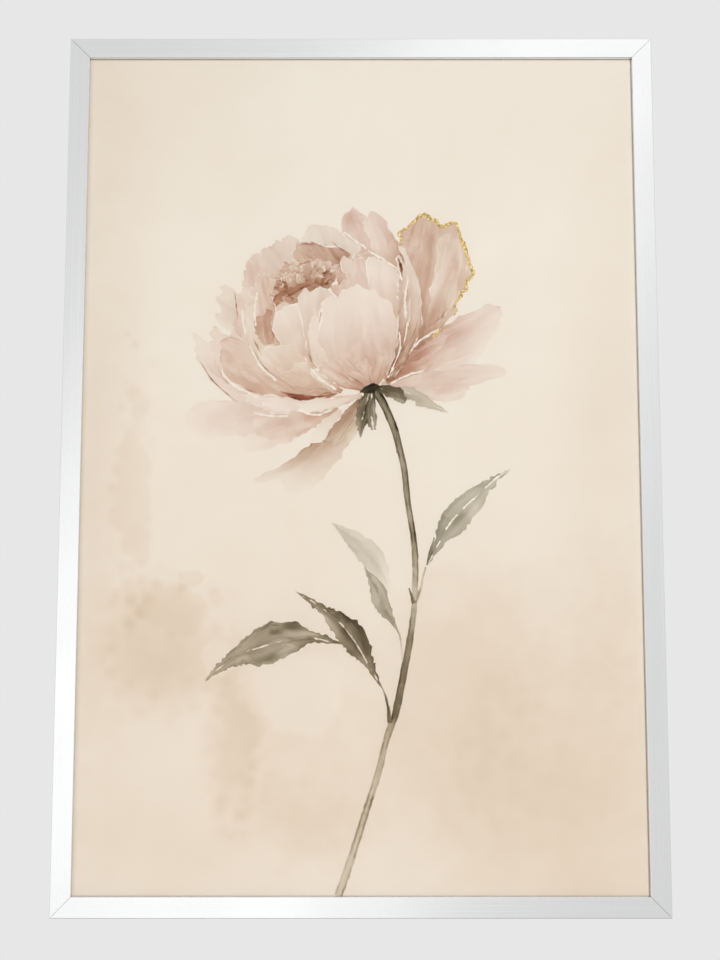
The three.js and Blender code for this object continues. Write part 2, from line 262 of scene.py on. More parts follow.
def dress(material, *names):
    """Gives these nodes of the frame the material."""
    for name in names:
        slots = NODES[name].data.materials
        slots.clear()
        slots.append(material)


def nodes_named(*starts):
    """The names of the frame's nodes that start in one of these ways."""
    return sorted(name for name in NODES if name.startswith(starts))


def aluminium(name, colour, grain):
    """Anodised aluminium with a fine grain. grain is the noise's scale along X, Y and Z."""
    material, tree = new_material(name)
    place = tree.objects()
    lines = tree.noise(tree.stretched(place, grain), 1.0, 3.0, 0.6)
    haze = tree.noise(place, 9.0, 2.0)
    shade = tree.blend(tree.between(lines, 0.3, 0.7), rgba(colour, 0.975), rgba(colour, 1.02))
    shade = tree.blend(tree.between(haze, 0.3, 0.7, 0.0, 0.3), shade, rgba(colour, 0.97))
    drawn = tree.between(lines, 0.25, 0.75, 0.20, 0.27)
    rough = tree.maths("ADD", drawn, tree.between(haze, 0.3, 0.7, 0.0, 0.03))
    principled(tree, shade, rough, bump(tree, lines, 0.000012), Metallic=1.0)
    return material


def plated_steel(name, colour):
    """Bright zinc plate: faint crystals, a drawn grain and rubbed spots."""
    material, tree = new_material(name)
    place = tree.objects()
    crystals = tree.add("TexVoronoi", {"Vector": place, "Scale": 420.0}).outputs["Color"]
    crystal = tree.parts(crystals)[0]
    drawn = tree.noise(tree.stretched(place, (900.0, 900.0, 90.0)), 1.0, 3.0)
    shade = tree.blend(crystal, rgba(colour, 0.88), rgba(colour, 1.06))
    shade = tree.blend(tree.between(drawn, 0.55, 0.8, 0.0, 0.5), shade, rgba(colour, 0.75))
    rough = tree.between(tree.noise(place, 260.0, 3.0), 0.3, 0.7, 0.24, 0.42)
    principled(tree, shade, rough, bump(tree, drawn, 0.00002), Metallic=1.0)
    return material


def blued_steel(name, colour):
    """Tempered spring steel with a rolled grain and a blue to straw cast."""
    material, tree = new_material(name)
    place = tree.objects()
    rolled = tree.noise(tree.stretched(place, (60.0, 1500.0, 60.0)), 1.0, 2.0)
    cast = tree.between(tree.noise(place, 70.0, 2.0), 0.42, 0.64)
    shade = tree.blend(cast, rgba(colour), (0.34, 0.29, 0.22, 1.0))
    rough = tree.between(rolled, 0.3, 0.7, 0.26, 0.4)
    principled(tree, shade, rough, bump(tree, rolled, 0.00001), Metallic=1.0)
    return material


def fibreboard(name, colour):
    """Pressed wood fibre: short pale and dark flecks in a smooth brown board."""
    material, tree = new_material(name)
    place = tree.objects()
    cloudy = tree.noise(place, 14.0, 3.0)
    across = tree.noise(tree.stretched(place, (520.0, 900.0, 2300.0)), 1.0, 2.0, distortion=1.5)
    upright = tree.noise(tree.stretched(place, (2300.0, 900.0, 520.0)), 1.0, 2.0, distortion=1.5)
    shade = tree.blend(tree.between(cloudy, 0.3, 0.7), rgba(colour, 0.86), rgba(colour, 1.12))
    shade = tree.blend(tree.between(across, 0.58, 0.72, 0.0, 0.55), shade, rgba(colour, 1.75))
    shade = tree.blend(tree.between(upright, 0.6, 0.74, 0.0, 0.5), shade, rgba(colour, 0.45))
    height = tree.maths("ADD", across, upright)
    principled(tree, shade, 0.72, bump(tree, height, 0.00006), Specular_IOR_Level=0.3)
    return material


def moulded_rubber(name, colour):
    """Matt black rubber with a fine pebble and a little dust."""
    material, tree = new_material(name)
    place = tree.objects()
    pebble = tree.noise(place, 2400.0, 2.0)
    dust = tree.between(tree.noise(place, 180.0, 3.0), 0.5, 0.75, 0.0, 0.25)
    shade = tree.blend(dust, rgba(colour), (0.09, 0.088, 0.085, 1.0))
    principled(tree, shade, 0.62, bump(tree, pebble, 0.00004), Specular_IOR_Level=0.35)
    return material


def backing_card(name, colour):
    """Ivory card with a short fibre."""
    material, tree = new_material(name)
    place = tree.objects()
    fibre = tree.noise(place, 1400.0, 3.0)
    shade = tree.blend(tree.between(fibre, 0.3, 0.7), rgba(colour, 0.93), rgba(colour, 1.04))
    principled(tree, shade, 0.9, bump(tree, fibre, 0.00003), Specular_IOR_Level=0.2)
    return material


def picture_glass(name):
    """Clear glass that lets the light through and carries a faint gloss."""
    material, tree = new_material(name)
    place = tree.objects()
    smear = tree.between(tree.noise(place, 7.0, 3.0), 0.35, 0.7, 0.004, 0.012)
    tint = tree.blend(tree.noise(place, 3.0), (0.985, 0.992, 0.988, 1.0), (0.99, 0.994, 0.99, 1.0))
    clear = tree.add("BsdfTransparent", {"Color": tint}).outputs[0]
    gloss = tree.add("BsdfGlossy", {"Color": (1.0, 1.0, 1.0, 1.0), "Roughness": smear}).outputs[0]
    grazing = tree.add("Fresnel", {"IOR": 1.16}).outputs[0]
    mixed = tree.add("MixShader", {0: grazing, 1: clear, 2: gloss}).outputs[0]
    tree.add("OutputMaterial", {"Surface": mixed})
    return material


# ---- Paper and ink -------------------------------------------------------------------------------

# Each wash cloud on the paper: its middle and radii in mm, its strength, the softness of its edge, and how
# far its edge wanders.
CLOUDS = (
    ((-204, -190), (62, 66), 0.42, 0.45, 0.60),
    ((-190, -150), (42, 30), 0.16, 0.10, 0.60),
    ((-177, -122), (15, 14), 0.22, 0.08, 0.30),
    ((-229, -153), (18, 12), 0.12, 0.80, 0.40),
    ((-200, -215), (24, 30), 0.14, 0.80, 0.40),
    ((-240, -30), (24, 140), 0.20, 0.20, 0.60),
    ((-131, -285), (30, 88), 0.34, 0.45, 0.70),
    ((-62, -362), (62, 40), 0.28, 0.75, 0.60),
    ((-75, -240), (70, 70), 0.22, 0.60, 0.50),
    ((-150, -220), (190, 240), 0.11, 0.95, 0.30),
    ((-205, -395), (120, 60), 0.11, 0.80, 0.50),
    ((-285, 60), (45, 330), 0.28, 0.90, 0.40),
    ((-240, 400), (120, 110), 0.20, 0.90, 0.40),
    ((165, -175), (110, 80), 0.22, 0.85, 0.60),
    ((95, -235), (70, 105), 0.30, 0.70, 0.70),
    ((60, -340), (120, 70), 0.20, 0.80, 0.60),
    ((215, -300), (90, 110), 0.24, 0.85, 0.55),
    ((262, 60), (40, 280), 0.16, 0.90, 0.40),
    ((235, -405), (125, 115), 0.30, 0.90, 0.50),
)
# Pale blooms, where clean water has pushed the wash back.
PALE_BLOOMS = (
    ((-66, -240), (66, 46), 0.36, 0.16, 0.85),
    ((-150, -205), (22, 20), 0.30, 0.08, 0.60),
    ((20, 60), (210, 210), 0.18, 0.90, 0.40),
)


# How far the lobes push a cloud's edge in and out, in mm.
LOBE_REACH = 9.0


def cloud_load(tree, place, rough_place, lobed, clouds):
    """The summed strength of these clouds at each point of the paper."""
    total = 0.0
    for (x, z), (across, tall), strength, soft, ragged in clouds:
        centred = tree.vector("SUBTRACT", place, (x * MM, 0.0, z * MM))
        scaled = tree.vector("MULTIPLY", centred, (1000.0 / across, 0.0, 1000.0 / tall))
        torn = tree.vector("ADD", scaled, tree.vector("SCALE", rough_place, ragged))
        lobes = tree.maths("MULTIPLY", lobed, LOBE_REACH / min(across, tall))
        reach = tree.maths("ADD", tree.vector("LENGTH", torn), lobes)
        inside = tree.between(reach, 1.0 + soft, 1.0 - soft, 0.0, strength)
        total = inside if total == 0.0 else tree.maths("ADD", total, inside)
    return total


def paper_group():
    """The group that gives the washed paper's colour, less what a pigment's density takes from it."""
    values = settings("print_settings")
    group = bpy.data.node_groups.new("washed_paper", "ShaderNodeTree")
    group.interface.new_socket("Density", in_out="INPUT", socket_type="NodeSocketVector")
    group.interface.new_socket("Color", in_out="OUTPUT", socket_type="NodeSocketColor")
    tree = Tree(group)
    given = group.nodes.new("NodeGroupInput").outputs["Density"]
    place = tree.objects()
    flat = tree.vector("MULTIPLY", place, (1.0, 0.0, 1.0))
    torn = tree.add("TexNoise", {"Vector": flat, "Scale": 17.0, "Detail": 5.0, "Roughness": 0.55})
    torn = tree.vector("SCALE", tree.vector("SUBTRACT", torn.outputs["Color"], (0.5, 0.5, 0.5)), 2.0)
    shaken = tree.vector("ADD", flat, tree.vector("SCALE", torn, 0.006))
    cells = tree.add("TexVoronoi", {"Vector": shaken, "Scale": 62.0})
    lobed = tree.maths("SUBTRACT", tree.maths("MULTIPLY", cells.outputs["Distance"], 2.0), 0.7)
    load = cloud_load(tree, flat, torn, lobed, CLOUDS)
    lift = cloud_load(tree, flat, torn, lobed, PALE_BLOOMS)
    mottled = tree.maths("ADD", tree.swing(flat, 7.0, 0.16, 3.0), tree.swing(flat, 26.0, 0.07, 3.0))
    tooth = tree.maths("ADD", tree.swing(flat, 900.0, 0.04), tree.swing(flat, 260.0, 0.03))
    # The paper darkens steadily from the top of the sheet to its bottom.
    low = tree.between(tree.parts(place)[2], PRINT_TOP, -PRINT_TOP, 0.05, 0.30)
    load = tree.maths("ADD", tree.maths("ADD", load, low), mottled)
    load = tree.maths("MULTIPLY", load, tree.maths("SUBTRACT", 1.0, lift))
    load = tree.maths("ADD", tree.maths("MAXIMUM", load, 0.0), tooth)
    wash = tree.vector("SCALE", absorbed(values.tan), load)
    density = tree.parts(tree.vector("ADD", given, wash))
    seen = []
    for i, channel in enumerate(values.paper):
        passed = tree.maths("EXPONENT", tree.maths("MULTIPLY", density[i], -1.0))
        seen.append(tree.maths("MULTIPLY", passed, channel))
    colour = tree.add("CombineColor", dict(enumerate(seen))).outputs[0]
    tree.feed(group.nodes.new("NodeGroupOutput").inputs["Color"], colour)
    return group


def absorbed(colour):
    """The density of a pigment layer that lets this colour through."""
    return tuple(-math.log(channel) for channel in colour)


def paper_colour(tree, density=None):
    """The washed paper's colour at each point, less what this density of pigment takes from it."""
    group = bpy.data.node_groups.get("washed_paper") or paper_group()
    node = tree.add("Group", node_tree=group)
    if density is not None:
        tree.feed(node.inputs["Density"], density)
    return node.outputs["Color"]


def paper_finish(name):
    """Matt watercolour paper with its tooth."""
    material, tree = new_material(name)
    tooth = tree.noise(tree.objects(), 700.0, 3.0)
    colour = paper_colour(tree)
    principled(tree, colour, 0.9, bump(tree, tooth, 0.00002), Specular_IOR_Level=0.1)
    return material


def ink_finish(name):
    """Watercolour: washes that bloom, streak and pool, in broken layers, bare where the brush stopped."""
    material, tree = new_material(name)
    place = tree.objects()
    flow = tree.attribute("flow")
    edge, reserve, pooling = tree.parts(tree.attribute("rim"))[:3]
    streaks = tree.swing(tree.stretched(flow, (0.15, 0.012, 1.0)), 1.0, 0.42, 3.0)
    fine = tree.swing(tree.stretched(flow, (0.75, 0.03, 1.0)), 1.0, 0.13, 3.0)
    blooms = tree.swing(tree.stretched(flow, (0.045, 0.03, 1.0)), 1.0, 0.75, 4.0)
    second = tree.noise(tree.stretched(flow, (0.06, 0.022, 1.7)), 1.0, 4.0, 0.55, 0.7)
    second = tree.maths("SUBTRACT", tree.between(second, 0.485, 0.515, 0.0, 0.26), 0.13)
    grain = tree.maths("ADD", tree.swing(place, 800.0, 0.10), tree.swing(place, 300.0, 0.10))
    strength = 1.0
    for layer in (streaks, fine, blooms, second, grain):
        strength = tree.maths("ADD", layer, strength)
    strength = tree.maths("MAXIMUM", strength, 0.1)
    torn = tree.maths("ADD", edge, tree.swing(place, 220.0, 1.7, 3.0))
    broken = tree.between(tree.noise(place, 70.0, 2.0), 0.46, 0.55)
    bare = tree.maths("MULTIPLY", tree.between(torn, 1.25, 0.45), tree.maths("MULTIPLY", reserve, broken))
    pool = tree.maths("MULTIPLY", tree.between(torn, 0.4, 1.1), tree.between(torn, 3.0, 1.2))
    patchy = tree.between(tree.noise(place, 45.0, 2.0), 0.42, 0.68)
    dried = tree.maths("MULTIPLY", pooling, patchy)
    pool = tree.maths("MULTIPLY", tree.maths("MULTIPLY", pool, 2.4), dried)
    strength = tree.maths("MULTIPLY", strength, tree.maths("ADD", pool, 1.0))
    strength = tree.maths("MULTIPLY", strength, tree.maths("SUBTRACT", 1.0, bare))
    density = tree.vector("SCALE", tree.attribute("glaze"), strength)
    density = tree.vector("SUBTRACT", density, tree.vector("SCALE", (0.07, 0.07, 0.09), bare))
    tooth = tree.noise(place, 700.0, 3.0)
    principled(tree, paper_colour(tree, density), 0.9, bump(tree, tooth, 0.00002), Specular_IOR_Level=0.1)
    return material


def gold_finish(name):
    """A printed line of gold: warm ochre with pale glints."""
    values = settings("print_settings")
    material, tree = new_material(name)
    place = tree.objects()
    glint = tree.between(tree.noise(place, 420.0, 3.0), 0.46, 0.62)
    dark = tree.between(tree.noise(place, 300.0, 2.0), 0.56, 0.4)
    shade = tree.blend(dark, rgba(values.gold), rgba(values.gold, 0.62))
    shade = tree.blend(glint, shade, (0.90, 0.72, 0.36, 1.0))
    flakes = tree.noise(place, 1300.0, 3.0)
    principled(tree, shade, 0.5, bump(tree, flakes, 0.00004), Specular_IOR_Level=0.4)
    return material


# ---- Brush shapes --------------------------------------------------------------------------------


# How far apart, in the noise, two shapes of neighbouring seeds take their streaks.
SEED_STRIDE = 37.0


class Film:
    """Counts the films of ink, so that each later one lies in front of those before it."""

    laid = 0

    @classmethod
    def next_depth(cls):
        cls.laid += 1
        depth = PRINT_FACE - cls.laid * settings("print_settings").layer_step
        if depth < GLASS_BACK:
            raise RuntimeError("the films of ink reach the glass")
        return depth


def bowed(start, end, bow):
    """A curve from start to end that bows to its left by bow of its length."""
    chord = end - start
    control = (start + end) / 2 + Vector((-chord.y, chord.x)) * 2 * bow
    return lambda t: start * (1 - t) ** 2 + control * (2 * t * (1 - t)) + end * t * t


def through(points):
    """A smooth curve through these points, evenly spaced, as a function of 0 to 1."""
    points = [Vector(point) for point in points]
    ends = [2 * points[0] - points[1], *points, 2 * points[-1] - points[-2]]

    def at(t):
        place = min(max(t, 0.0), 1.0) * (len(points) - 1)
        i = min(int(place), len(points) - 2)
        f = place - i
        a, b, c, d = ends[i : i + 4]
        square = (a * 2 - b * 5 + c * 4 - d) * f**2
        cube = (b * 3 - a - c * 3 + d) * f**3
        return (b * 2 + (c - a) * f + square + cube) / 2

    return at


def ease(values, t):
    """The value at t, moving smoothly through evenly spaced values."""
    place = min(max(t, 0.0), 1.0) * (len(values) - 1)
    i = min(int(place), len(values) - 2)
    f = place - i
    f = f * f * (3 - 2 * f)
    return values[i] * (1 - f) + values[i + 1] * f


def ripple(x, seed):
    """Smooth noise from about -1 to 1 along a line."""
    return 1.6 * noise.noise(Vector((x, seed * 7.13, seed * 3.71)))


def uneven(x, seed, *waves):
    """A ragged line's height at x mm along it. Each wave is a height, a length and a step of the seed."""
    return sum(height * ripple(x / length, seed + step) for height, length, step in waves)


def nearness(s, t, x, y, wide, tall):
    """How near s, t is to a spot at x, y that reaches this wide and tall, from 0 to 1."""
    return math.exp(-(((s - x) / wide) ** 2) - ((t - y) / tall) ** 2)


def length_of(curve, steps):
    """The curve's length, measured in this many straight steps."""
    return sum((curve((i + 1) / steps) - curve(i / steps)).length for i in range(steps))


def right_of(curve, t, step):
    """The direction square to the curve at t, on its right."""
    along = curve(min(t + step, 1.0)) - curve(max(t - step, 0.0))
    return Vector((along.y, -along.x)).normalized()


def glaze(rose, umber, olive):
    """The density of these loads of pigment, laid over one another."""
    values = settings("print_settings")
    pairs = ((rose, values.rose), (umber, values.umber), (olive, values.olive))
    layers = [Vector(absorbed(colour)) * load for load, colour in pairs]
    return sum(layers[1:], layers[0])


class Ink:
    """One piece of the artwork: brush shapes gathered into a single mesh."""

    def __init__(self, name):
        self.name = name
        self.mesh = bmesh.new()
        self.glaze = self.mesh.verts.layers.float_vector.new("glaze")
        self.rim = self.mesh.verts.layers.float_vector.new("rim")
        self.flow = self.mesh.verts.layers.float_vector.new("flow")

    def sheet(self, place, density, size, columns, rows, reserve, pooling, seed, sides="lrt"):
        """Lays one shape. place(s, t) gives its points in mm, with s from left to right and t from foot to
        tip. density(s, t) is its glaze, size its width and length in mm, and sides which of its left,
        right and tip have a rim. reserve: how much of the rim is bare. pooling: how dark the rim dries."""
        depth = Film.next_depth()
        width, length = size
        verts = bmesh.ops.create_grid(self.mesh, x_segments=columns, y_segments=rows, size=1.0)["verts"]
        faces = {face for vert in verts for face in vert.link_faces}
        for vert in verts:
            s, t = (vert.co.x + 1) / 2, (vert.co.y + 1) / 2
            across = width(t)
            gaps = {"l": s * across, "r": (1 - s) * across, "t": (1 - t) * length}
            edge = min(gaps[side] for side in sides)
            point = place(s, t)
            vert.co = (point.x * MM, depth, point.y * MM)
            vert[self.glaze] = density(s, t)
            vert[self.rim] = (edge, reserve, pooling)
            vert[self.flow] = ((s - 0.5) * across, t * length, seed * SEED_STRIDE)
        for face in faces:
            face.normal_update()
        if sum(face.calc_area() * face.normal.y for face in faces) > 0:
            bmesh.ops.reverse_faces(self.mesh, faces=list(faces))

    def petal(
        self, foot, left, right, bows=(0.0, 0.0), tip=(0, 4, 6, 5, 0), frill=2, load=(0.8, 0.4, 0.2),
        warmth=(0.5, 0.35), across=(1.0, 1.0, 1.0), olive=0.0, foot_width=3.0, reserve=0.7, pooling=0.3,
        seed=1.0, wander=1.8, spots=(),
    ):
        """A petal that grows from its foot to its left and right corners, as seen looking along it.
        bows: how far each side bulges, of its length. tip: how far the end rises past its corners, in mm,
        at even steps across it. frill: how ragged the end is, in mm. load: pigment at the foot, the middle
        and the end. warmth: how much of it is umber and not rose, at the foot and the end. across: the
        load's scale at the left, the middle and the right. olive: how much olive goes with a full load.
        wander: how uneven its sides are, in mm. spots: darker places, as place across and along, reach
        across and along, and loads of rose and umber."""
        foot, left, right = Vector(foot), Vector(left), Vector(right)
        forward = ((left + right) / 2 - foot).normalized()
        side = Vector((forward.y, -forward.x))
        left_edge = bowed(foot - side * foot_width, left, bows[0])
        right_edge = bowed(foot + side * foot_width, right, -bows[1])
        length = ((left + right) / 2 - foot).length + max(tip)
        span = (right - left).length
        rise = through(enumerate(tip))

        def place(s, t):
            point = left_edge(t).lerp(right_edge(t), s)
            ragged = uneven(span * s, seed, (1.0, 11, 0), (1.0, 6, 3), (0.5, 2.4, 5))
            point = point + forward * (rise(s).y * t**2.2 + frill * ragged * t**6)
            away = abs(2 * s - 1) ** 5 * math.copysign(1.0, s - 0.5) * min(1.0, 6 * t * (1.3 - t))
            own = seed + (11 if s > 0.5 else 17)
            rough = uneven(length * t, own, (1.0, 14, 0), (1.0, 6, 3), (0.5, 2.4, 7))
            return point + side * wander * away * rough

        def density(s, t):
            amount = ease(load, t) * ease(across, s)
            umber = amount * ease(warmth, t)
            rose = amount - umber
            for x, y, wide, tall, more_rose, more_umber in spots:
                near = nearness(s, t, x, y, wide, tall)
                rose, umber = rose + near * more_rose, umber + near * more_umber
            return glaze(rose, umber, olive * amount)

        def width(t):
            return (right_edge(t) - left_edge(t)).length

        # About one column and one row for each millimetre, so that a small petal stays light.
        columns = min(44, max(12, round(span)))
        rows = min(30, max(10, round(length)))
        self.sheet(place, density, (width, length), columns, rows, reserve, pooling, seed)
        return place

    def stroke(
        self, points, widths, pigments, columns=8, rows=24, reserve=0.0, pooling=0.4, rough=0.5, seed=1.0,
        across=(1, 1, 1),
    ):
        """A brush line through the points, or along a curve, as wide as widths say along it. pigments:
        loads of rose, umber and olive at evenly spaced places along it. rough: how ragged its sides are, in
        mm. across: the load's scale at even steps across it."""
        centre = points if callable(points) else through(points)
        length = length_of(centre, 40)

        def place(s, t):
            side = right_of(centre, t, 0.004)
            hand = 4 if s > 0.5 else 5
            ragged = uneven(length * t, seed, (1.0, 7, hand), (0.5, 2, -hand))
            shake = rough * abs(2 * s - 1) ** 3 * ragged
            return centre(t) + side * ((2 * s - 1) * (ease(widths, t) / 2) + math.copysign(shake, s - 0.5))

        def density(s, t):
            return glaze(*(ease([stop[i] for stop in pigments], t) * ease(across, s) for i in range(3)))

        def width(t):
            return ease(widths, t)

        self.sheet(place, density, (width, length), columns, rows, reserve, pooling, seed, sides="lr")

    def leaf(
        self, midrib, halves, loads, seed=1.0, umber=0.3, rough=1.9, across=1.1, rib=1.0, spots=(),
    ):
        """A leaf in two brush strokes, one on each side of its midrib. halves: how far the left and the
        right half reach, in mm, at even steps along it. loads: for each half, its olive load at foot,
        middle and tip. umber: the umber in a full load. rough: how ragged its edge is, in mm. across: the
        load's scale at its edge. rib: how much of the midrib is left bare. spots: darker places, as the
        half (0 or 1), place across and along, reach across and along, and load."""
        centre = through(midrib)
        length = length_of(centre, 20)
        for half, load in enumerate(loads):
            hand = 2 * half - 1
            own = seed + 2.3 * hand
            profile = through(enumerate(halves[half]))

            def reach(t, profile=profile):
                return max(0.0, profile(t).y)

            def place(s, t, hand=hand, reach=reach, own=own):
                side = right_of(centre, t, 0.01) * hand
                jag = uneven(length * t, own, (0.6, 9, 5), (0.8, 4, 9), (0.4, 1.5, 0))
                wide = reach(t)
                return centre(t) + side * (s * wide + rough * s**5 * jag * min(1.0, wide / 4))

            def density(s, t, load=load, half=half):
                amount = ease(load, t) * ease((1.0, 0.86, across), s)
                for which, x, y, wide, tall, more in spots:
                    if which == half:
                        amount += more * nearness(s, t, x, y, wide, tall)
                return glaze(0.0, amount * umber, amount)

            self.sheet(place, density, (reach, length), 14, 80, rib, 0.12, own, sides="l")

    def finish(self, material=None):
        """Makes the piece: its films get their thickness, its finish and its body."""
        data = bpy.data.meshes.new(self.name)
        self.mesh.to_mesh(data)
        self.mesh.free()
        piece = bpy.data.objects.new(self.name, data)
        bpy.context.scene.collection.objects.link(piece)
        watercolour = bpy.data.materials.get("watercolour")
        data.materials.append(material or watercolour or ink_finish("watercolour"))
        thick = piece.modifiers.new("film", "SOLIDIFY")
        thick.thickness = settings("print_settings").film
        thick.offset = -1.0
        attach(piece, "frame")


# ---- The flower ----------------------------------------------------------------------------------


# A stroke that carries nothing, and so shows as bare paper.
NO_PIGMENT = ((0, 0, 0), (0, 0, 0))


def paint_leaves():
    """The leaves, which stand clear of the bloom, and their stalks."""
    ink = Ink("painted_leaves")
    ink.leaf(
        [(30, -137), (26, -121), (18, -105), (7, -89), (-7, -78), (-20, -69), (-32, -62)],
        ((1, 7, 12, 15, 11, 5, 0), (1, 5, 9, 9, 6, 3, 0)), ((0.08, 0.42, 0.34), (0.04, 0.30, 0.30)),
        seed=3.0, umber=0.1, rough=1.6, across=1.0, rib=0.2,
    )
    ink.stroke(
        [(40, -178), (42, -191), (43, -204), (43, -215)], (1.6, 1.2, 1.6, 0.6),
        [(0, 0.1, 0.7), (0, 0, 0.2), (0, 0, 0)], rows=60,
    )
    ink.leaf(
        [(41, -181), (34, -166), (28, -155), (23, -144), (17, -130), (10, -119), (3, -108)],
        ((0.6, 3, 9, 10, 8, 4, 0), (0.6, 2, 5, 7, 7, 3, 0)), ((0.85, 0.75, 0.9), (0.75, 0.65, 0.65)),
        seed=5.0, umber=0.12, rough=1.5, rib=0.25, spots=[(0, 0.4, 0.3, 0.5, 0.15, 0.25)],
    )
    ink.stroke(
        [(56, -147), (60, -138), (63, -129)], (3.4, 3.0, 1.8),
        [(0, 0.2, 1.5), (0, 0.1, 0.9), (0, 0.1, 0.4)], columns=6, rows=20,
    )
    ink.stroke(
        [(63, -131), (65, -119), (68, -109)], (1.8, 1.6, 1.6),
        [(0, 0.1, 0.35), (0, 0.1, 0.35), (0, 0.1, 0.6)], columns=6, rows=20,
    )
    ink.leaf(
        [(69, -107), (81, -85), (93, -64), (109, -46), (127, -30), (143, -15), (162, -4)],
        ((1, 4, 11, 13, 9, 3, 0), (1, 5, 15, 15, 8, 3, 0)), ((0.95, 0.70, 0.90), (0.7, 0.58, 0.7)),
        seed=2.0, umber=0.05, spots=[(0, 0.8, 0.35, 0.3, 0.2, 0.35), (1, 0.1, 0.42, 0.3, 0.1, 0.5)],
    )
    ink.stroke(
        [(69, -107), (73, -94), (77, -78)], (1.4, 4.2, 1.2), [(0, 0.2, 1.5), (0, 0.2, 1.2), (0, 0.1, 0.95)],
        rows=30,
    )
    ink.stroke(
        [(30, -273), (29, -263), (29, -253)], (3.6, 4.0, 1.0),
        [(0, 0.5, 1.6), (0, 0.4, 1.5), (0, 0.4, 1.7)],
    )
    ink.stroke(
        [(29, -262), (27, -249), (23, -236), (17, -227)], (2.0, 2.2, 1.2, 2.4),
        [(0, 0.4, 1.7), (0, 0.4, 1.6), (0, 0.2, 0.6), (0, 0.5, 1.8)], rows=60,
    )
    ink.stroke(
        [(2, -208), (-9, -197), (-19, -189), (-33, -186)], (1.6, 2.2, 1.6, 4.0),
        [(0, 0.4, 1.8), (0, 0.4, 1.9), (0, 0.3, 1.2), (0, 0.3, 1.5)], rows=60,
    )
    ink.leaf(
        [(18, -228), (7, -209), (-6, -187), (-20, -169), (-36, -155), (-52, -144), (-69, -134)],
        ((1.5, 5, 12, 12, 7, 3, 0), (1.5, 7, 14, 12, 4, 2.5, 0)), ((1.7, 1.15, 1.15), (1.6, 1.40, 1.2)),
        seed=7.0, rough=2.2, across=1.15, rib=0.9,
        spots=[
            (0, 0.25, 0.42, 0.4, 0.08, 1.3), (1, 0.45, 0.40, 0.5, 0.14, 0.8), (1, 0.9, 0.5, 0.3, 0.15, 0.7),
            (0, 0.8, 0.62, 0.3, 0.12, -0.5),
        ],
    )
    ink.leaf(
        [(-30, -187), (-52, -183), (-79, -186), (-103, -192), (-128, -201), (-148, -215), (-166, -231)],
        ((2, 6, 16, 20, 10, 4, 0), (2, 10, 21, 20, 9, 4, 0)), ((1.25, 0.67, 0.78), (1.35, 0.78, 0.75)),
        seed=9.0, umber=0.22, rough=2.2, across=1.2,
        spots=[
            (1, 0.75, 0.30, 0.22, 0.06, 2.0), (1, 0.5, 0.38, 0.15, 0.04, 1.4),
            (1, 0.95, 0.42, 0.14, 0.16, 0.7), (0, 0.75, 0.46, 0.3, 0.09, 0.5),
            (1, 0.4, 0.16, 0.3, 0.08, -0.5),
        ],
    )
    ink.finish()


def paint_stem():
    """The stem, darker on its left, fading towards the foot of the sheet."""
    ink = Ink("painted_stem")
    path = [(15, 79), (24, 64), (35, 38), (41, 15), (46, -8), (49, -38), (55, -78), (57, -107), (56, -144)]
    tones = [
        (0, 0.6, 2.3), (0, 0.5, 1.8), (0, 0.5, 1.5), (0, 0.45, 1.35), (0, 0.4, 1.2), (0, 0.35, 1.0),
        (0, 0.3, 0.7),
    ]
    ink.stroke(
        path, (9.5, 8.0, 7.0, 6.4, 6.0, 6.2, 5.6), tones, columns=14, rows=120, reserve=0.3, pooling=0.6,
        seed=2.0, across=(1.8, 0.8, 0.7, 1.0),
    )
    path = [(56, -146), (54, -164), (51, -184), (46, -211), (41, -237), (36, -260), (32, -273)]
    tones = [(0, 0.2, 0.7), (0, 0.25, 0.85), (0, 0.35, 1.2), (0, 0.5, 1.9), (0, 0.5, 2.1), (0, 0.3, 1.1)]
    ink.stroke(
        path, (5.0, 6.0, 6.6, 7.2, 7.4, 5.6), tones, columns=14, rows=90, reserve=0.3, pooling=0.6,
        rough=0.6, seed=4.0, across=(0.9, 0.7, 0.9, 1.35),
    )
    path = [(32, -271), (26, -288), (18, -320), (5, -360), (-9, -404), (-23, -444)]
    tones = [(0, 0.3, 0.74), (0, 0.22, 0.54), (0, 0.18, 0.43), (0, 0.14, 0.36), (0, 0.12, 0.30)]
    ink.stroke(
        path, (7.0, 6.4, 6.6, 7.2, 8.4), tones, columns=14, rows=90, reserve=0.3, pooling=0.8, rough=0.7,
        seed=6.0, across=(1.4, 0.75, 0.75, 1.1),
    )
    ink.stroke(
        [(55, -147), (53, -139), (50, -131)], (3.8, 2.6, 0.8),
        [(0, 0.4, 1.7), (0, 0.4, 1.6), (0, 0.3, 1.3)],
    )
    ink.finish()


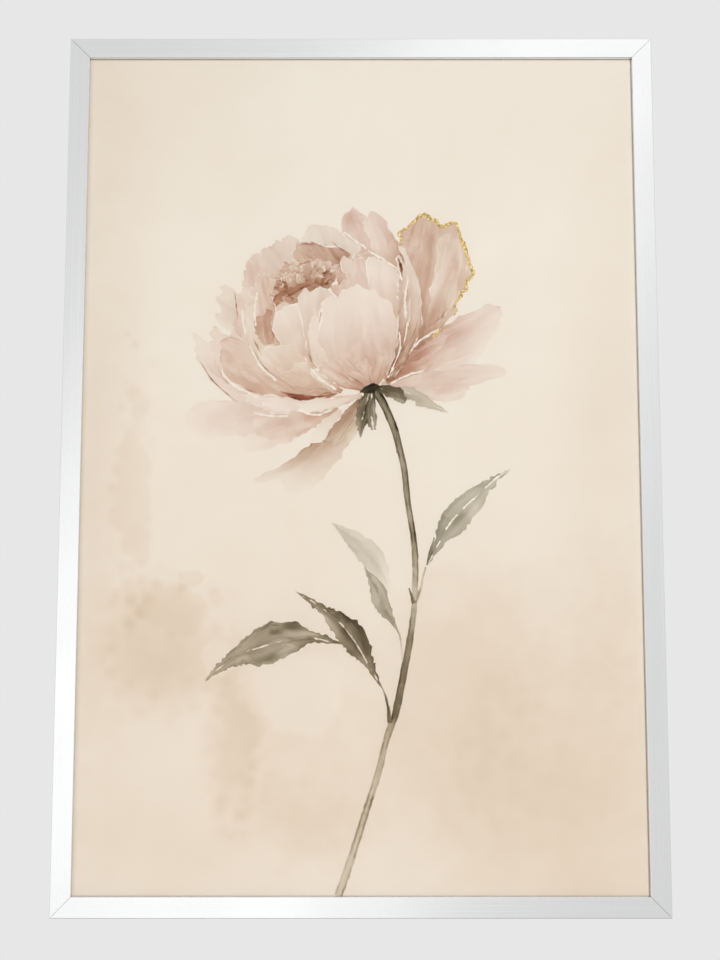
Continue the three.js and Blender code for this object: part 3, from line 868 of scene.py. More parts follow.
def paint_outer_petals():
    """The spread petals behind the bowl: faded on the left, drooping below, and wide on the right."""
    ink = Ink("painted_outer_petals")
    ink.petal(
        (-31, 54), (-131, 10), (-145, 29), bows=(0.08, 0.02), tip=(0, 2, 4, 1, 0), load=(0.45, 0.30, 0.02),
        warmth=(0.3, 0.3), reserve=0.1, pooling=0.0, seed=2,
    )
    ink.petal(
        (-31, 57), (-169, 25), (-178, 64), bows=(0.03, 0.05), tip=(0, 7, 9, 6, 0), frill=2.5,
        load=(0.7, 0.46, 0.10), warmth=(0.35, 0.2), across=(0.6, 1, 1), reserve=0.1, pooling=0.15, seed=1,
        spots=[(0.4, 0.85, 0.3, 0.1, 0.12, 0.0)],
    )
    ink.petal(
        (-23, 58), (-93, 23), (-116, 45), bows=(0.07, 0.05), tip=(0, 2, 6, 3, 0), load=(0.95, 0.80, 0.38),
        warmth=(0.5, 0.3), across=(0.9, 1, 0.8), reserve=0.4, pooling=0.2, seed=3,
    )
    ink.petal(
        (-11, 52), (-24, -1), (-45, 1), bows=(0.04, 0.02), tip=(0, 3, 1, 3, 0), frill=3,
        load=(0.45, 0.22, 0.0), warmth=(0.6, 0.6), across=(0.2, 1, 0.8), olive=0.3, reserve=0.1,
        pooling=0.0, seed=4,
    )
    ink.petal(
        (1, 70), (-56, -30), (-112, -15), bows=(0.10, -0.06), tip=(0, 6, 5, -6, 3, 0), frill=2.5,
        load=(1.05, 0.55, 0.07), warmth=(0.85, 0.75), across=(0.5, 0.9, 1.15), olive=0.2, reserve=0.3,
        pooling=0.5, seed=5,
        spots=[(0.72, 0.42, 0.25, 0.2, 0.05, 0.25), (0.35, 0.6, 0.2, 0.15, 0.0, -0.15)],
    )
    ink.petal(
        (-21, 57), (-41, 23), (-54, 31), bows=(0.02, 0.04), tip=(0, 3, 5, 2, 0), frill=1.5,
        load=(0.35, 0.16, 0.06), warmth=(0.6, 0.6), reserve=0.8, pooling=0.1, seed=6,
    )
    ink.petal(
        (2, 72), (-21, 26), (-40, 25), bows=(0.04, 0.03), tip=(0, 6, 2, 5, 0), load=(1.5, 0.95, 0.55),
        warmth=(0.8, 0.8), across=(0.7, 1, 1), olive=0.25, reserve=0.3, pooling=0.4, seed=7,
    )
    ink.petal(
        (47, 93), (130, 138), (117, 101), tip=(0, 6, 8, 5, 0), load=(0.6, 0.38, 0.14), warmth=(0.4, 0.2),
        reserve=0.2, pooling=0.1, seed=19,
    )
    ink.petal(
        (22, 85), (136, 108), (92, 66), bows=(0.03, 0.05), tip=(0, 30, 24, 4, 9, 0), frill=5,
        load=(0.75, 0.48, 0.26), warmth=(0.4, 0.25), across=(0.8, 1, 0.9), reserve=0.4, seed=8,
        spots=[
            (0.62, 0.8, 0.18, 0.16, 0.22, 0.1), (0.2, 0.55, 0.2, 0.2, 0.15, 0.0),
            (0.8, 0.3, 0.2, 0.2, 0.2, 0.1),
        ],
    )
    ink.petal(
        (26, 89), (139, 173), (130, 123), bows=(0.06, 0.02), tip=(0, 12, 18, 12, 0), frill=4,
        load=(2.4, 0.82, 0.14), warmth=(0.5, 0.15), across=(1.1, 1, 0.75), reserve=0.5, pooling=0.25,
        seed=9, spots=[(0.25, 0.45, 0.25, 0.2, 0.3, 0.1), (0.15, 0.95, 0.2, 0.1, 0.1, 0.05)],
    )
    ink.petal(
        (27, 90), (90, 141), (89, 127), bows=(0.05, 0.02), tip=(0, 4, 2, 0), load=(2.7, 1.9, 0.62),
        warmth=(0.55, 0.3), across=(1.15, 0.95, 0.5), foot_width=4, reserve=0.35, seed=10,
    )
    ink.petal(
        (26, 89), (65, 114), (70, 105), bows=(0.04, 0.06), tip=(0, 3, 1, 0), frill=1.5,
        load=(3.0, 2.3, 0.9), warmth=(0.6, 0.45), across=(1.1, 1, 0.7), foot_width=4, reserve=0.1, seed=11,
    )
    ink.finish()


def paint_gilded_petal():
    """The upright petal on the right, and the gold line along its edge."""
    ink = Ink("painted_upright_petal")
    place = ink.petal(
        (55, 123), (41, 250), (118, 206), bows=(0.0, 0.085), tip=(0, 14, 27, 33, 33, 31, 37, 38, 26, 17, 8),
        frill=2.4, load=(2.0, 0.74, 0.60), warmth=(0.6, 0.45), across=(1.15, 1.0, 0.82), olive=0.05,
        foot_width=5, reserve=0.0, pooling=0.5, seed=12, wander=2.6,
        spots=[
            (0.1, 0.35, 0.25, 0.22, 0.3, 0.7), (0.12, 0.97, 0.14, 0.08, 0.2, 0.35),
            (0.40, 0.75, 0.05, 0.25, 0.15, 0.2), (0.72, 0.5, 0.2, 0.3, -0.2, -0.1),
        ],
    )
    ink.petal(
        (72, 148), (84, 245), (113, 211), bows=(0.0, 0.10), tip=(0, 12, 14, 17, 6, 0), frill=1.6,
        load=(1.1, 0.56, 0.52), warmth=(0.55, 0.45), across=(0.55, 1, 1.05), olive=0.05, reserve=0.6,
        seed=13,
    )
    ink.finish()

    corners = [(0.0, 0.80), (0.0, 1.0), (1.0, 1.0), (1.0, 0.50)]
    shares = (0.12, 0.72, 1.0)

    def rim(t):
        """The point at t of the petal's outline: up its left side, across its end and down its right."""
        leg = next(i for i, share in enumerate(shares) if t <= share)
        start = (0.0, *shares)[leg]
        f = (t - start) / (shares[leg] - start)
        (s0, t0), (s1, t1) = corners[leg : leg + 2]
        return place(s0 + (s1 - s0) * f, t0 + (t1 - t0) * f)

    gold = Ink("gold_line")
    widths = (0.8, 1.4, 2.6, 2.0, 3.2, 3.6, 2.4, 3.4, 2.0, 2.4, 3.4, 2.4, 3.0, 2.0, 2.4, 1.4, 0.5)
    gold.stroke(rim, widths, NO_PIGMENT, columns=6, rows=260, rough=0.8, seed=3.0)
    gold.stroke(
        [place(1.0, 0.34), place(1.0, 0.26), place(0.98, 0.18)], (0.4, 2.2, 0.4), NO_PIGMENT, columns=4,
        rows=20, rough=0.8, seed=5.0,
    )
    gold.finish(gold_finish("gold_ink"))


def paint_back_petals():
    """The petals of the far side of the bowl, from faded ones at the left to frilled ones at the top."""
    ink = Ink("painted_back_petals")
    ink.petal(
        (-96, 136), (-152, 150), (-145, 194), bows=(0.08, 0.05), frill=4, load=(0.6, 0.42, 0.20),
        warmth=(0.5, 0.5), across=(0.8, 1, 0.8), olive=0.1, foot_width=6, reserve=0.1, pooling=0.1, seed=14,
    )
    ink.petal(
        (-82, 164), (-130, 195), (-103, 230), bows=(0.08, 0.04), tip=(0, 5, 8, 6, 0), frill=3.8,
        load=(0.85, 0.54, 0.42), warmth=(0.4, 0.3), across=(1, 1, 0.8), foot_width=8, reserve=0.2,
        pooling=0.2, seed=15, spots=[(0.5, 0.85, 0.3, 0.15, 0.12, 0.05)],
    )
    ink.petal(
        (-62, 188), (-108, 221), (-70, 245), bows=(0.08, 0.04), tip=(0, 7, 9, 6, 0), frill=3.8,
        load=(0.8, 0.52, 0.42), warmth=(0.4, 0.35), across=(1, 1, 0.8), olive=0.12, foot_width=8,
        reserve=0.2, pooling=0.2, seed=16,
    )
    ink.petal(
        (-77, 152), (-124, 171), (-95, 214), bows=(0.06, 0.04), frill=3, load=(1.0, 0.62, 0.42),
        warmth=(0.5, 0.4), across=(1.1, 1, 0.9), foot_width=8, reserve=0.5, pooling=0.25, seed=21,
    )
    ink.petal(
        (38, 209), (26, 258), (40, 236), tip=(0, 2, 0), frill=1.5, load=(0.4, 0.28, 0.12),
        warmth=(0.4, 0.4), reserve=0.1, pooling=0.1, seed=17,
    )
    ink.petal(
        (10, 211), (-23, 257), (12, 266), bows=(0.02, 0.02), tip=(0, 11, 17, 16, 6, 0), frill=2.4,
        load=(1.2, 0.60, 0.44), warmth=(0.5, 0.2), across=(0.9, 1, 0.9), foot_width=9, reserve=0.75,
        pooling=0.35, seed=18, spots=[(0.4, 0.9, 0.2, 0.1, 0.4, 0.25)],
    )
    ink.petal(
        (41, 202), (3, 262), (27, 262), bows=(0.05, 0.05), tip=(0, 3, 13, 12, 0), frill=2.2,
        load=(1.7, 0.66, 0.38), warmth=(0.5, 0.2), across=(0.9, 0.95, 1.15), foot_width=9, reserve=0.3,
        pooling=0.35, seed=23, spots=[(0.8, 0.45, 0.2, 0.3, 0.25, 0.1)],
    )
    ink.petal(
        (-25, 211), (-65, 245), (0, 236), bows=(-0.02, 0.02), tip=(0, 14, 20, 19, 8, 0),
        load=(0.7, 0.26, 0.16), warmth=(0.6, 0.4), across=(0.8, 1, 1.3), olive=0.35, foot_width=10,
        reserve=0.6, pooling=0.15, seed=19,
    )
    ink.petal(
        (-34, 208), (-75, 225), (-11, 226), bows=(0.0, 0.02), tip=(0, 15, 17, 15, 9, 0), frill=1.6,
        load=(1.6, 1.15, 0.95), warmth=(0.6, 0.5), across=(0.65, 1, 1.7), olive=0.06, foot_width=12,
        pooling=0.4, seed=20,
    )
    ink.petal(
        (1, 178), (-29, 211), (29, 222), bows=(0.0, 0.05), tip=(0, 6, 9, 5, 0), frill=2.6,
        load=(1.5, 1.1, 0.85), warmth=(0.5, 0.45), across=(1.0, 1, 0.8), foot_width=22, reserve=0.4,
        pooling=0.4, seed=22,
    )
    ink.stroke([(-46, 238), (-34, 235), (-23, 236)], (0.4, 1.6, 0.6), NO_PIGMENT, columns=4)
    ink.finish()


def paint_heart():
    """The dark hollow of the bloom, full of small torn petals."""
    ink = Ink("painted_heart")
    ink.petal(
        (-57, 176), (-98, 178), (-23, 204), tip=(0, 22, 29, 27, 17, 0), frill=3, load=(2.0, 1.4, 0.75),
        warmth=(0.7, 0.6), across=(0.9, 1, 1.15), olive=0.06, foot_width=18, reserve=0.2, pooling=0.4,
        seed=24,
    )
    ink.stroke(
        [(-93, 171), (-85, 182), (-73, 189), (-59, 195), (-45, 196)], (5, 9, 12, 8, 4),
        [(0.4, 0.9, 0), (0.5, 1.2, 0.05), (0.5, 1.1, 0.05), (0.4, 0.8, 0.1)], columns=12, rows=40,
        rough=2.8, seed=5.0,
    )
    rng = random.Random(8)
    path = through([(-94, 180), (-87, 196), (-74, 208), (-57, 214), (-41, 211), (-29, 202)])
    scraps, threads = 34, 14
    # How far behind the hollow's middle the scraps start, and how far forward their last row comes, in mm.
    back_row, row_drop = 6, 19
    for i in range(scraps):
        depth = i / scraps
        t = rng.uniform(0.02, 0.98)
        ahead = (path(t + 0.01) - path(t - 0.01)).normalized()
        out = Vector((-ahead.y, ahead.x))
        middle = path(t) + out * (back_row - row_drop * depth + rng.uniform(-3, 3))
        turn = rng.uniform(-0.9, 0.9)
        lean = (out + ahead * turn) * rng.uniform(3.5, 7.5)
        half = (ahead - out * turn) * rng.uniform(2.5, 7.0)
        load = (0.75 + 1.0 * depth) * rng.uniform(0.5, 1.4)
        ink.petal(
            middle - lean, middle + lean * 0.6 - half, middle + lean * 0.6 + half,
            bows=(rng.uniform(0.0, 0.2), rng.uniform(0.0, 0.2)),
            tip=(0, rng.uniform(0, 4), rng.uniform(-1, 2), rng.uniform(0, 4), 0),
            load=(1.35 * load, load, 0.7 * load), warmth=(0.8, 0.6),
            across=(rng.uniform(0.6, 1.3), 1.0, rng.uniform(0.6, 1.3)), olive=0.1 * t, foot_width=2.5,
            reserve=0.14, pooling=0.5, seed=30 + i, wander=1.2,
        )
    for i in range(threads):
        start = path(rng.uniform(0.08, 0.92)) + Vector((rng.uniform(-3, 7), rng.uniform(-9, 2)))
        reach = Vector((rng.uniform(-3, 6), rng.uniform(2, 5)))
        curl = Vector((-reach.y, reach.x)) * rng.uniform(-0.5, 0.5)
        tone = rng.uniform(0.0, 0.35)
        points = [start, start + reach / 2 + curl, start + reach]
        ink.stroke(
            points, (0.4, rng.uniform(0.8, 1.5), 0.3), [(0, tone, 0), (0, tone, 0)], columns=4, rows=12,
            seed=i,
        )
    ink.finish()


def paint_bowl_petals():
    """The layered petals that make the left side and the underside of the bowl."""
    ink = Ink("painted_bowl_petals")
    ink.petal(
        (-22, 77), (-158, 112), (-101, 171), bows=(0.12, 0.06), tip=(0, 4, 8, 6, 0), frill=3,
        load=(1.0, 0.62, 0.44), warmth=(0.5, 0.45), foot_width=6, reserve=0.0, pooling=0.1, seed=60,
    )
    ink.petal(
        (-63, 67), (-170, 104), (-176, 142), bows=(0.13, -0.04), tip=(0, 3, 4, 3, 0), frill=2.6,
        load=(0.8, 0.42, 0.22), warmth=(0.4, 0.3), across=(1.1, 0.9, 0.7), foot_width=5, reserve=0.5,
        seed=61, spots=[(0.2, 0.75, 0.2, 0.15, 0.2, 0.05)],
    )
    ink.petal(
        (-63, 70), (-152, 91), (-158, 150), bows=(0.10, 0.0), tip=(0, 2, 5, 5, 0), frill=2.6,
        load=(0.9, 0.54, 0.36), across=(1.25, 0.9, 0.7), foot_width=5, reserve=0.6, seed=62,
        spots=[(0.15, 0.8, 0.2, 0.15, 0.3, 0.1)],
    )
    ink.petal(
        (-82, 101), (-135, 151), (-124, 192), bows=(0.10, 0.03), frill=2.6, load=(0.9, 0.52, 0.36),
        warmth=(0.5, 0.4), across=(1.3, 0.9, 0.8), foot_width=6, seed=63,
    )
    ink.petal(
        (-45, 70), (-149, 98), (-141, 138), bows=(0.12, 0.08), tip=(0, 3, 6, 5, 0), frill=2.6,
        load=(1.2, 0.78, 0.60), warmth=(0.65, 0.55), across=(1.2, 0.95, 0.85), foot_width=5, pooling=0.4,
        seed=64, spots=[(0.5, 0.6, 0.3, 0.2, 0.0, -0.12), (0.2, 0.9, 0.2, 0.1, 0.15, 0.1)],
    )
    ink.petal(
        (-79, 101), (-127, 136), (-113, 184), bows=(0.10, 0.0), tip=(0, 3, 6, 4, 0), frill=2.4,
        load=(0.8, 0.44, 0.30), warmth=(0.55, 0.5), across=(1.25, 0.9, 0.9), foot_width=6, reserve=0.85,
        seed=65,
    )
    ink.petal(
        (-87, 127), (-113, 161), (-100, 207), bows=(0.09, -0.02), tip=(0, 3, 6, 4, 0), frill=2.4,
        load=(1.0, 0.76, 0.58), warmth=(0.6, 0.55), across=(0.8, 1, 1.25), foot_width=5, seed=66,
    )
    ink.petal(
        (-98, 128), (-114, 154), (-95, 167), bows=(0.08, 0.0), tip=(0, 3, 1, 3, 0), frill=2.4,
        load=(1.1, 1.40, 1.10), warmth=(0.65, 0.6), across=(0.9, 1, 1.2), foot_width=6, reserve=0.4,
        pooling=0.4, seed=67,
    )
    ink.petal(
        (-63, 108), (-95, 148), (-67, 171), bows=(0.06, 0.02), tip=(0, 9, 6, 9, 3, 0),
        load=(0.7, 0.34, 0.14), warmth=(0.55, 0.4), across=(1.0, 0.9, 1.1), foot_width=6, pooling=0.25,
        seed=68,
    )
    ink.petal(
        (-43, 105), (-67, 183), (-30, 182), bows=(0.03, 0.03), tip=(0, 7, 3, 9, 6, 0),
        load=(0.8, 0.46, 0.24), across=(0.9, 1, 1.2), olive=0.06, foot_width=9, reserve=0.6, seed=69,
        spots=[(0.75, 0.8, 0.2, 0.2, 0.12, 0.05)],
    )
    ink.petal(
        (-23, 79), (-111, 108), (-73, 129), bows=(0.16, -0.02), tip=(0, 9, 12, 5, 0),
        load=(1.15, 0.52, 0.34), warmth=(0.75, 0.65), across=(1.3, 0.95, 0.85), reserve=0.8, pooling=0.35,
        seed=70, spots=[(0.25, 0.55, 0.25, 0.2, 0.15, 0.2)],
    )
    ink.petal(
        (-22, 78), (-84, 91), (-61, 108), bows=(0.10, -0.02), tip=(0, 6, 3, 5, 0), load=(1.3, 0.75, 0.46),
        warmth=(0.75, 0.6), across=(1.1, 1, 0.8), reserve=0.5, pooling=0.35, seed=71,
    )
    ink.petal(
        (-20, 77), (-54, 94), (-50, 103), bows=(0.06, 0.0), tip=(0, 2, 0), frill=1.2, load=(1.1, 0.5, 0.3),
        warmth=(0.6, 0.6), reserve=0.9, seed=72,
    )
    ink.petal(
        (-6, 70), (-138, 69), (-167, 101), bows=(0.10, -0.10), tip=(0, 2, 4, 3, 0), load=(0.9, 0.52, 0.30),
        across=(1.0, 0.85, 0.8), pooling=0.35, seed=73, spots=[(0.5, 0.7, 0.3, 0.12, 0.1, 0.05)],
    )
    ink.petal(
        (-8, 70), (-93, 54), (-130, 76), bows=(0.06, -0.05), tip=(0, 2, 5, 2, 0), load=(0.8, 0.42, 0.25),
        across=(1.1, 0.9, 0.8), reserve=0.8, seed=74,
    )
    ink.stroke(
        [(-85, 77), (-63, 70), (-43, 70), (-25, 76)], (1, 7, 6, 2),
        [(1.0, 0.7, 0), (1.6, 1.4, 0), (1.2, 1.2, 0), (0.6, 0.9, 0)], columns=10, rows=40, rough=1.2,
        seed=3.0,
    )
    ink.petal(
        (0, 73), (-89, 57), (-108, 67), bows=(0.05, -0.02), tip=(0, 2, 3, 1, 0), frill=1.6,
        load=(0.75, 0.32, 0.14), warmth=(0.45, 0.35), across=(1.1, 0.8, 0.8), reserve=0.9, pooling=0.25,
        seed=75,
    )
    ink.petal(
        (0, 74), (-54, 54), (-69, 66), bows=(0.05, -0.03), tip=(0, 2, 1, 0), frill=1.2,
        load=(0.7, 0.24, 0.10), warmth=(0.45, 0.4), across=(1.1, 0.8, 0.9), reserve=0.95, pooling=0.2,
        seed=76,
    )
    ink.finish()


def paint_front_petals():
    """The big cupped petal in front, its neighbours above it and the slim ones on its right."""
    ink = Ink("painted_front_petals")
    ink.petal(
        (10, 134), (-31, 189), (34, 198), bows=(0.0, 0.05), tip=(0, 6, 8, 6, 0), load=(1.4, 0.85, 0.62),
        warmth=(0.5, 0.4), foot_width=14, reserve=0.0, pooling=0.2, seed=79,
    )
    ink.petal(
        (15, 157), (-22, 219), (10, 221), bows=(0.02, 0.04), tip=(0, 5, -2, 4, 2, 0), frill=2.4,
        load=(0.9, 0.58, 0.48), warmth=(0.35, 0.25), across=(0.9, 1, 1.1), foot_width=8, reserve=0.6,
        seed=80, spots=[(0.4, 0.6, 0.3, 0.2, 0.12, 0.0)],
    )
    ink.petal(
        (30, 89), (6, 219), (38, 208), bows=(0.02, 0.10), tip=(0, 8, 5, 6, 2, 0), frill=2.2,
        load=(2.2, 0.62, 0.24), warmth=(0.6, 0.25), across=(0.9, 0.9, 1.2), olive=0.04, foot_width=5,
        pooling=0.25, seed=81,
    )
    ink.petal(
        (29, 89), (37, 221), (45, 219), bows=(-0.06, 0.13), tip=(0, 4, 2, 0), load=(2.5, 0.90, 0.34),
        warmth=(0.7, 0.4), across=(1.2, 0.9, 0.9), olive=0.12, reserve=0.8, pooling=0.25, seed=82,
    )
    ink.petal(
        (31, 90), (40, 235), (51, 226), bows=(-0.12, 0.165), tip=(0, 5, 3, 0), load=(2.5, 0.55, 0.22),
        warmth=(0.7, 0.4), across=(1.1, 0.85, 1.0), olive=0.1, foot_width=2, reserve=0.9, pooling=0.25,
        seed=83,
    )
    ink.stroke(
        [(40, 222), (43, 213), (44, 202)], (0.5, 2.6, 0.6),
        [(0.3, 1.4, 0.5), (0.3, 1.7, 0.6), (0.3, 1.2, 0.3)], columns=6, rows=30, rough=0.8, seed=7.0,
    )
    ink.petal(
        (5, 81), (-57, 135), (-31, 157), bows=(0.20, 0.0), tip=(0, 9, 12, 6, 0), frill=2.6,
        load=(1.3, 0.40, 0.20), warmth=(0.6, 0.35), across=(1.1, 0.9, 0.9), foot_width=6, pooling=0.25,
        seed=84,
    )
    ink.petal(
        (11, 80), (-42, 171), (33, 170), bows=(0.22, 0.15), tip=(0, 9, 13, 21, 22, 17, 12, 0), frill=2.2,
        load=(1.5, 0.47, 0.15), warmth=(0.6, 0.15), across=(0.95, 0.85, 1.15), olive=0.02, foot_width=5,
        reserve=0.75, pooling=0.25, seed=85,
        spots=[(0.70, 0.45, 0.25, 0.22, 0.28, 0.0), (0.35, 0.35, 0.2, 0.2, 0.05, 0.12)],
    )
    creases = (
        [(47, 197), (49, 183), (48, 164)], [(-57, 124), (-54, 114), (-48, 101)],
        [(-115, 135), (-111, 127), (-105, 116)], [(-42, 171), (-42, 161), (-45, 151)],
        [(10, 81), (3, 87), (-8, 93)], [(34, 94), (40, 103), (47, 114)],
    )
    for seed, crease in enumerate(creases):
        ink.stroke(
            crease, (0.4, 1.5, 0.4), [(0.2, 0.3, 0), (0.5, 1.0, 0.1), (0.2, 0.3, 0)], columns=6, rough=0.6,
            seed=seed,
        )
    foot_shadows = (
        ((-45, 101), (-34, 110), (0.10, 0.0), 1.0), ((-31, 109), (-16, 116), (0.04, 0.02), 0.85),
        ((16, 116), (30, 114), (0.02, 0.06), 1.0), ((-4, 107), (10, 108), (0.0, 0.0), 0.8),
    )
    for seed, (left, right, bows, dark) in enumerate(foot_shadows):
        ink.petal(
            (11, 80), left, right, bows=bows, tip=(0, 4, 1, 5, 0), frill=2.5,
            load=(1.7 * dark, 1.0 * dark, 0.58 * dark), warmth=(0.6, 0.35), reserve=0.0, seed=90 + seed,
        )
    ink.finish()


def paint_slivers():
    """Thin lines of bare paper between petals, and the thin dark edges where a wash dried."""
    ink = Ink("painted_slivers")
    bare = (
        [(-148, 101), (-141, 89), (-125, 79), (-109, 71)], [(-53, 102), (-42, 90), (-26, 79)],
        [(-118, 127), (-106, 104), (-89, 89)], [(41, 142), (41, 121), (29, 92)],
        [(54, 123), (67, 135), (83, 145)], [(8, 231), (24, 221), (40, 209), (44, 198)],
        [(-18, 251), (-5, 241), (6, 233)], [(-111, 185), (-113, 167), (-112, 148)],
        [(50, 198), (47, 178), (48, 156)], [(32, 86), (50, 95), (67, 100)],
        [(-67, 58), (-49, 52), (-31, 57)], [(-126, 167), (-126, 155), (-123, 138)],
        [(-41, 171), (-42, 157), (-44, 143)], [(-113, 54), (-95, 51), (-77, 51)],
    )
    dark = (
        [(-56, 76), (-43, 80), (-25, 76)], [(61, 157), (57, 141), (47, 119)],
        [(-116, 124), (-100, 101), (-72, 82)], [(-32, 241), (-21, 232), (-8, 225)],
        [(8, 101), (10, 89), (11, 81)], [(-17, 97), (-4, 89), (5, 82)],
        [(-135, 185), (-133, 171), (-131, 155)], [(-171, 110), (-157, 89), (-132, 66)],
    )
    for seed, points in enumerate(bare):
        ink.stroke(
            points, (0.2, 1.1, 0.5, 1.3, 0.4, 1.0, 0.2), NO_PIGMENT, columns=4, rows=60, reserve=0.5,
            pooling=0.0, rough=1.5, seed=seed,
        )
    for seed, points in enumerate(dark):
        ink.stroke(
            points, (0.2, 0.9, 0.3, 1.0, 0.4, 0.8, 0.2), [(0.3, 0.5, 0), (0.7, 1.0, 0.1), (0.4, 0.5, 0)],
            columns=4, rows=40, seed=seed,
        )
    ink.finish()


def paint_sepals():
    """The dark sepals and the swelling where the stem meets the bloom."""
    ink = Ink("painted_sepals")
    ink.leaf(
        [(39, 79), (54, 74), (67, 66), (81, 60), (93, 54)], ((2, 8, 7, 3, 0), (1, 5, 6, 3, 0)),
        ((0.35, 0.32, 0.5), (0.5, 0.42, 0.55)), seed=51.0, umber=0.4, rib=0.4,
    )
    ink.leaf(
        [(16, 81), (25, 79), (34, 75), (41, 71), (48, 67)], ((3, 6, 8, 7, 3), (2, 6, 6, 5, 3)),
        ((2.6, 1.9, 1.5), (2.3, 1.6, 1.3)), seed=53.0, rib=0.5, spots=[(0, 0.5, 0.6, 0.4, 0.2, 0.5)],
    )
    ink.leaf(
        [(10, 79), (6, 66), (3, 54), (0, 40), (-1, 28)], ((3, 5, 6, 5, 1), (3, 7, 7, 4, 0)),
        ((2.7, 1.8, 1.3), (2.5, 1.6, 1.3)), seed=55.0, across=1.15, rib=0.8,
        spots=[(1, 0.4, 0.5, 0.4, 0.15, 0.5)],
    )
    ink.leaf(
        [(12, 77), (11, 66), (11, 54), (12, 45), (13, 36)], ((2, 5, 6, 5, 3), (2, 4, 5, 5, 2)),
        ((2.7, 1.5, 1.1), (2.5, 1.4, 1.0)), seed=57.0, umber=0.25, across=1.2, rib=0.9,
    )
    ink.stroke(
        [(-1, 77), (6, 79), (13, 81), (20, 82)], (2, 7, 9, 3),
        [(0.3, 0.8, 1.0), (0, 0.8, 2.9), (0, 0.5, 2.4)], columns=10, pooling=0.3, rough=1.2, seed=5.0,
    )
    ink.finish()


# ---- Operators -----------------------------------------------------------------------------------


class PRINT_OT_metal(bpy.types.Operator):
    """Gives the rails and the hardware on the back their metals"""

    bl_idname = "framed_print.metal"
    bl_label = "Metal"

    def execute(self, context):
        values = settings("metal_settings")
        dress(aluminium("silver_level", values.silver, (4.0, 2600.0, 2600.0)), "rail_top", "rail_bottom")
        dress(aluminium("silver_upright", values.silver, (2600.0, 2600.0, 4.0)), "rail_left", "rail_right")
        zinc = plated_steel("zinc_plate", values.zinc)
        dress(zinc, *nodes_named("corner_plate", "hanger", "slide_nut"))
        dress(blued_steel("tempered_steel", values.spring), *nodes_named("spring_clip", "set_screw"))
        return {"FINISHED"}


class PRINT_OT_boards(bpy.types.Operator):
    """Gives the glass, the boards and the bumpers their finishes"""

    bl_idname = "framed_print.boards"
    bl_label = "Glass, boards and bumpers"

    def execute(self, context):
        values = settings("metal_settings")
        dress(picture_glass("picture_glass"), "glass")
        dress(fibreboard("pressed_board", values.board), "back_panel")
        dress(backing_card("ivory_backing", values.card), "backing_card")
        dress(moulded_rubber("bumper_rubber", values.rubber), *nodes_named("bumper"))
        return {"FINISHED"}


class PRINT_OT_paper(bpy.types.Operator):
    """Washes the sheet of paper"""

    bl_idname = "framed_print.paper"
    bl_label = "Paper"

    def execute(self, context):
        dress(paper_finish("watercolour_paper"), "art_print")
        return {"FINISHED"}


class PRINT_OT_stem(bpy.types.Operator):
    """Paints the leaves and the stem"""

    bl_idname = "framed_print.stem"
    bl_label = "Stem and leaves"

    def execute(self, context):
        paint_leaves()
        paint_stem()
        return {"FINISHED"}


class PRINT_OT_bloom(bpy.types.Operator):
    """Paints the bloom, from its outer petals to its front ones"""

    bl_idname = "framed_print.bloom"
    bl_label = "Bloom"

    def execute(self, context):
        paint_outer_petals()
        paint_gilded_petal()
        paint_back_petals()
        paint_heart()
        paint_bowl_petals()
        paint_front_petals()
        paint_slivers()
        paint_sepals()
        return {"FINISHED"}


def area_light(name, place, target, size, power):
    """A soft light at place that shines at target."""
    data = bpy.data.lights.new(name, "AREA")
    data.shape = "RECTANGLE"
    data.size, data.size_y = size
    data.energy = power
    light = bpy.data.objects.new(name, data)
    light.location = place
    light.rotation_euler = (Vector(target) - Vector(place)).to_track_quat("-Z", "Y").to_euler()
    light.visible_camera = False
    bpy.context.scene.collection.objects.link(light)
    return light


def soften_room(scene, values):
    """The even light all round the frame, which its metal and glass mirror."""
    world = bpy.data.worlds.new("soft_room")
    world.use_nodes = True
    world.node_tree.nodes["Background"].inputs["Color"].default_value = rgba(values.backdrop)
    world.cycles_visibility.diffuse = False
    scene.world = world


def lay_floor(scene):
    """The plain pale floor, some way below the hung frame."""
    drop, reach = 0.75, 1.5
    mesh = bmesh.new()
    bmesh.ops.create_grid(mesh, x_segments=1, y_segments=1, size=reach)
    bmesh.ops.translate(mesh, verts=mesh.verts, vec=(0.0, 0.0, CAD_BOX[0].z - drop))
    data = bpy.data.meshes.new("floor")
    mesh.to_mesh(data)
    mesh.free()
    floor = bpy.data.objects.new("floor", data)
    scene.collection.objects.link(floor)
    material, tree = new_material("pale_floor")
    mottle = tree.noise(tree.objects(), 5.0, 3.0)
    shade = tree.blend(mottle, (0.74, 0.74, 0.74, 1.0), (0.80, 0.80, 0.80, 1.0))
    principled(tree, shade, 0.7)
    data.materials.append(material)


def hang_lamps(values):
    """The broad lamps, and the two slanting bands of light that the rails mirror."""
    lamp_size, band_distance, band_length = 1.3, -3.25, 5.0
    lamps = (
        ("key", (-2.2, -4.0, 1.2), values.key_power),
        ("fill", (0.6, -4.5, -0.2), values.fill_power),
        ("rear", (-0.8, 3.2, 0.9), values.rear_power),
    )
    for name, place, power in lamps:
        lamp = area_light(name, place, (0.0, 0.0, 0.0), (lamp_size, lamp_size), power)
        lamp.visible_glossy = False
    bands = (("band_left", -0.05, 0.90, 0.9, 39.0), ("band_right", 0.211, 0.544, 0.85, 20.4))
    for name, x, z, width, lean in bands:
        size = (width, band_length)
        band = area_light(name, (x, band_distance, z), (x, 0.0, z), size, values.band_power)
        band.rotation_euler.rotate_axis("Z", math.radians(-lean))


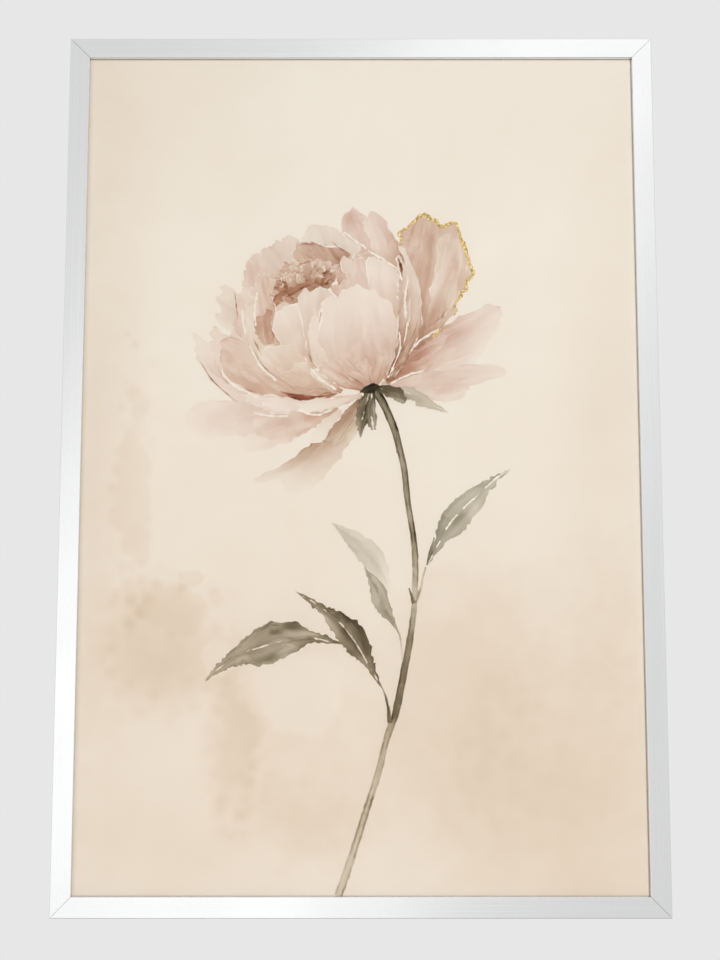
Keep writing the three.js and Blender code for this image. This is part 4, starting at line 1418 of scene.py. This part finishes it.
def place_camera(scene, values):
    """The camera, in front of the frame and below its middle, which looks up at it."""
    aside = -0.0009
    data = bpy.data.cameras.new("camera")
    data.lens = values.lens
    data.sensor_fit = "VERTICAL"
    data.sensor_height = 36.0
    camera = bpy.data.objects.new("camera", data)
    camera.location = (aside, FRONT - values.camera_distance, values.camera_height)
    camera.rotation_euler = (math.pi / 2 + values.camera_pitch, 0.0, 0.0)
    scene.collection.objects.link(camera)
    scene.camera = camera


class PRINT_OT_stage(bpy.types.Operator):
    """Sets up the floor, the light and the camera"""

    bl_idname = "framed_print.stage"
    bl_label = "Stage"

    def execute(self, context):
        values = settings("stage_settings")
        context.scene.view_settings.view_transform = "Standard"
        soften_room(context.scene, values)
        lay_floor(context.scene)
        hang_lamps(values)
        place_camera(context.scene, values)
        return {"FINISHED"}


OPERATORS = (PRINT_OT_stage, PRINT_OT_metal, PRINT_OT_boards, PRINT_OT_paper, PRINT_OT_stem, PRINT_OT_bloom)
GROUPS = {"print_settings": PrintSettings, "metal_settings": MetalSettings, "stage_settings": StageSettings}


class PRINT_PT_panel(bpy.types.Panel):
    """Lists the pieces of the framed print in the order they are made"""

    bl_idname = "PRINT_PT_panel"
    bl_label = "Framed Print"
    bl_space_type = "VIEW_3D"
    bl_region_type = "UI"
    bl_category = "Framed Print"

    def draw(self, context):
        for operator in OPERATORS:
            self.layout.operator(operator.bl_idname)
        for name, group in GROUPS.items():
            box = self.layout.box()
            for key in group.__annotations__:
                box.prop(getattr(context.scene, name), key)


CLASSES = (*GROUPS.values(), *OPERATORS, PRINT_PT_panel)


def register():
    for item in CLASSES:
        bpy.utils.register_class(item)
    for name, group in GROUPS.items():
        setattr(bpy.types.Scene, name, bpy.props.PointerProperty(type=group))


def unregister():
    for name in GROUPS:
        delattr(bpy.types.Scene, name)
    for item in reversed(CLASSES):
        bpy.utils.unregister_class(item)


def main():
    """Makes the whole print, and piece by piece."""
    register()
    for operator in OPERATORS:
        group, call = operator.bl_idname.split(".")
        getattr(getattr(bpy.ops, group), call)()


if __name__ == "__main__":
    main()
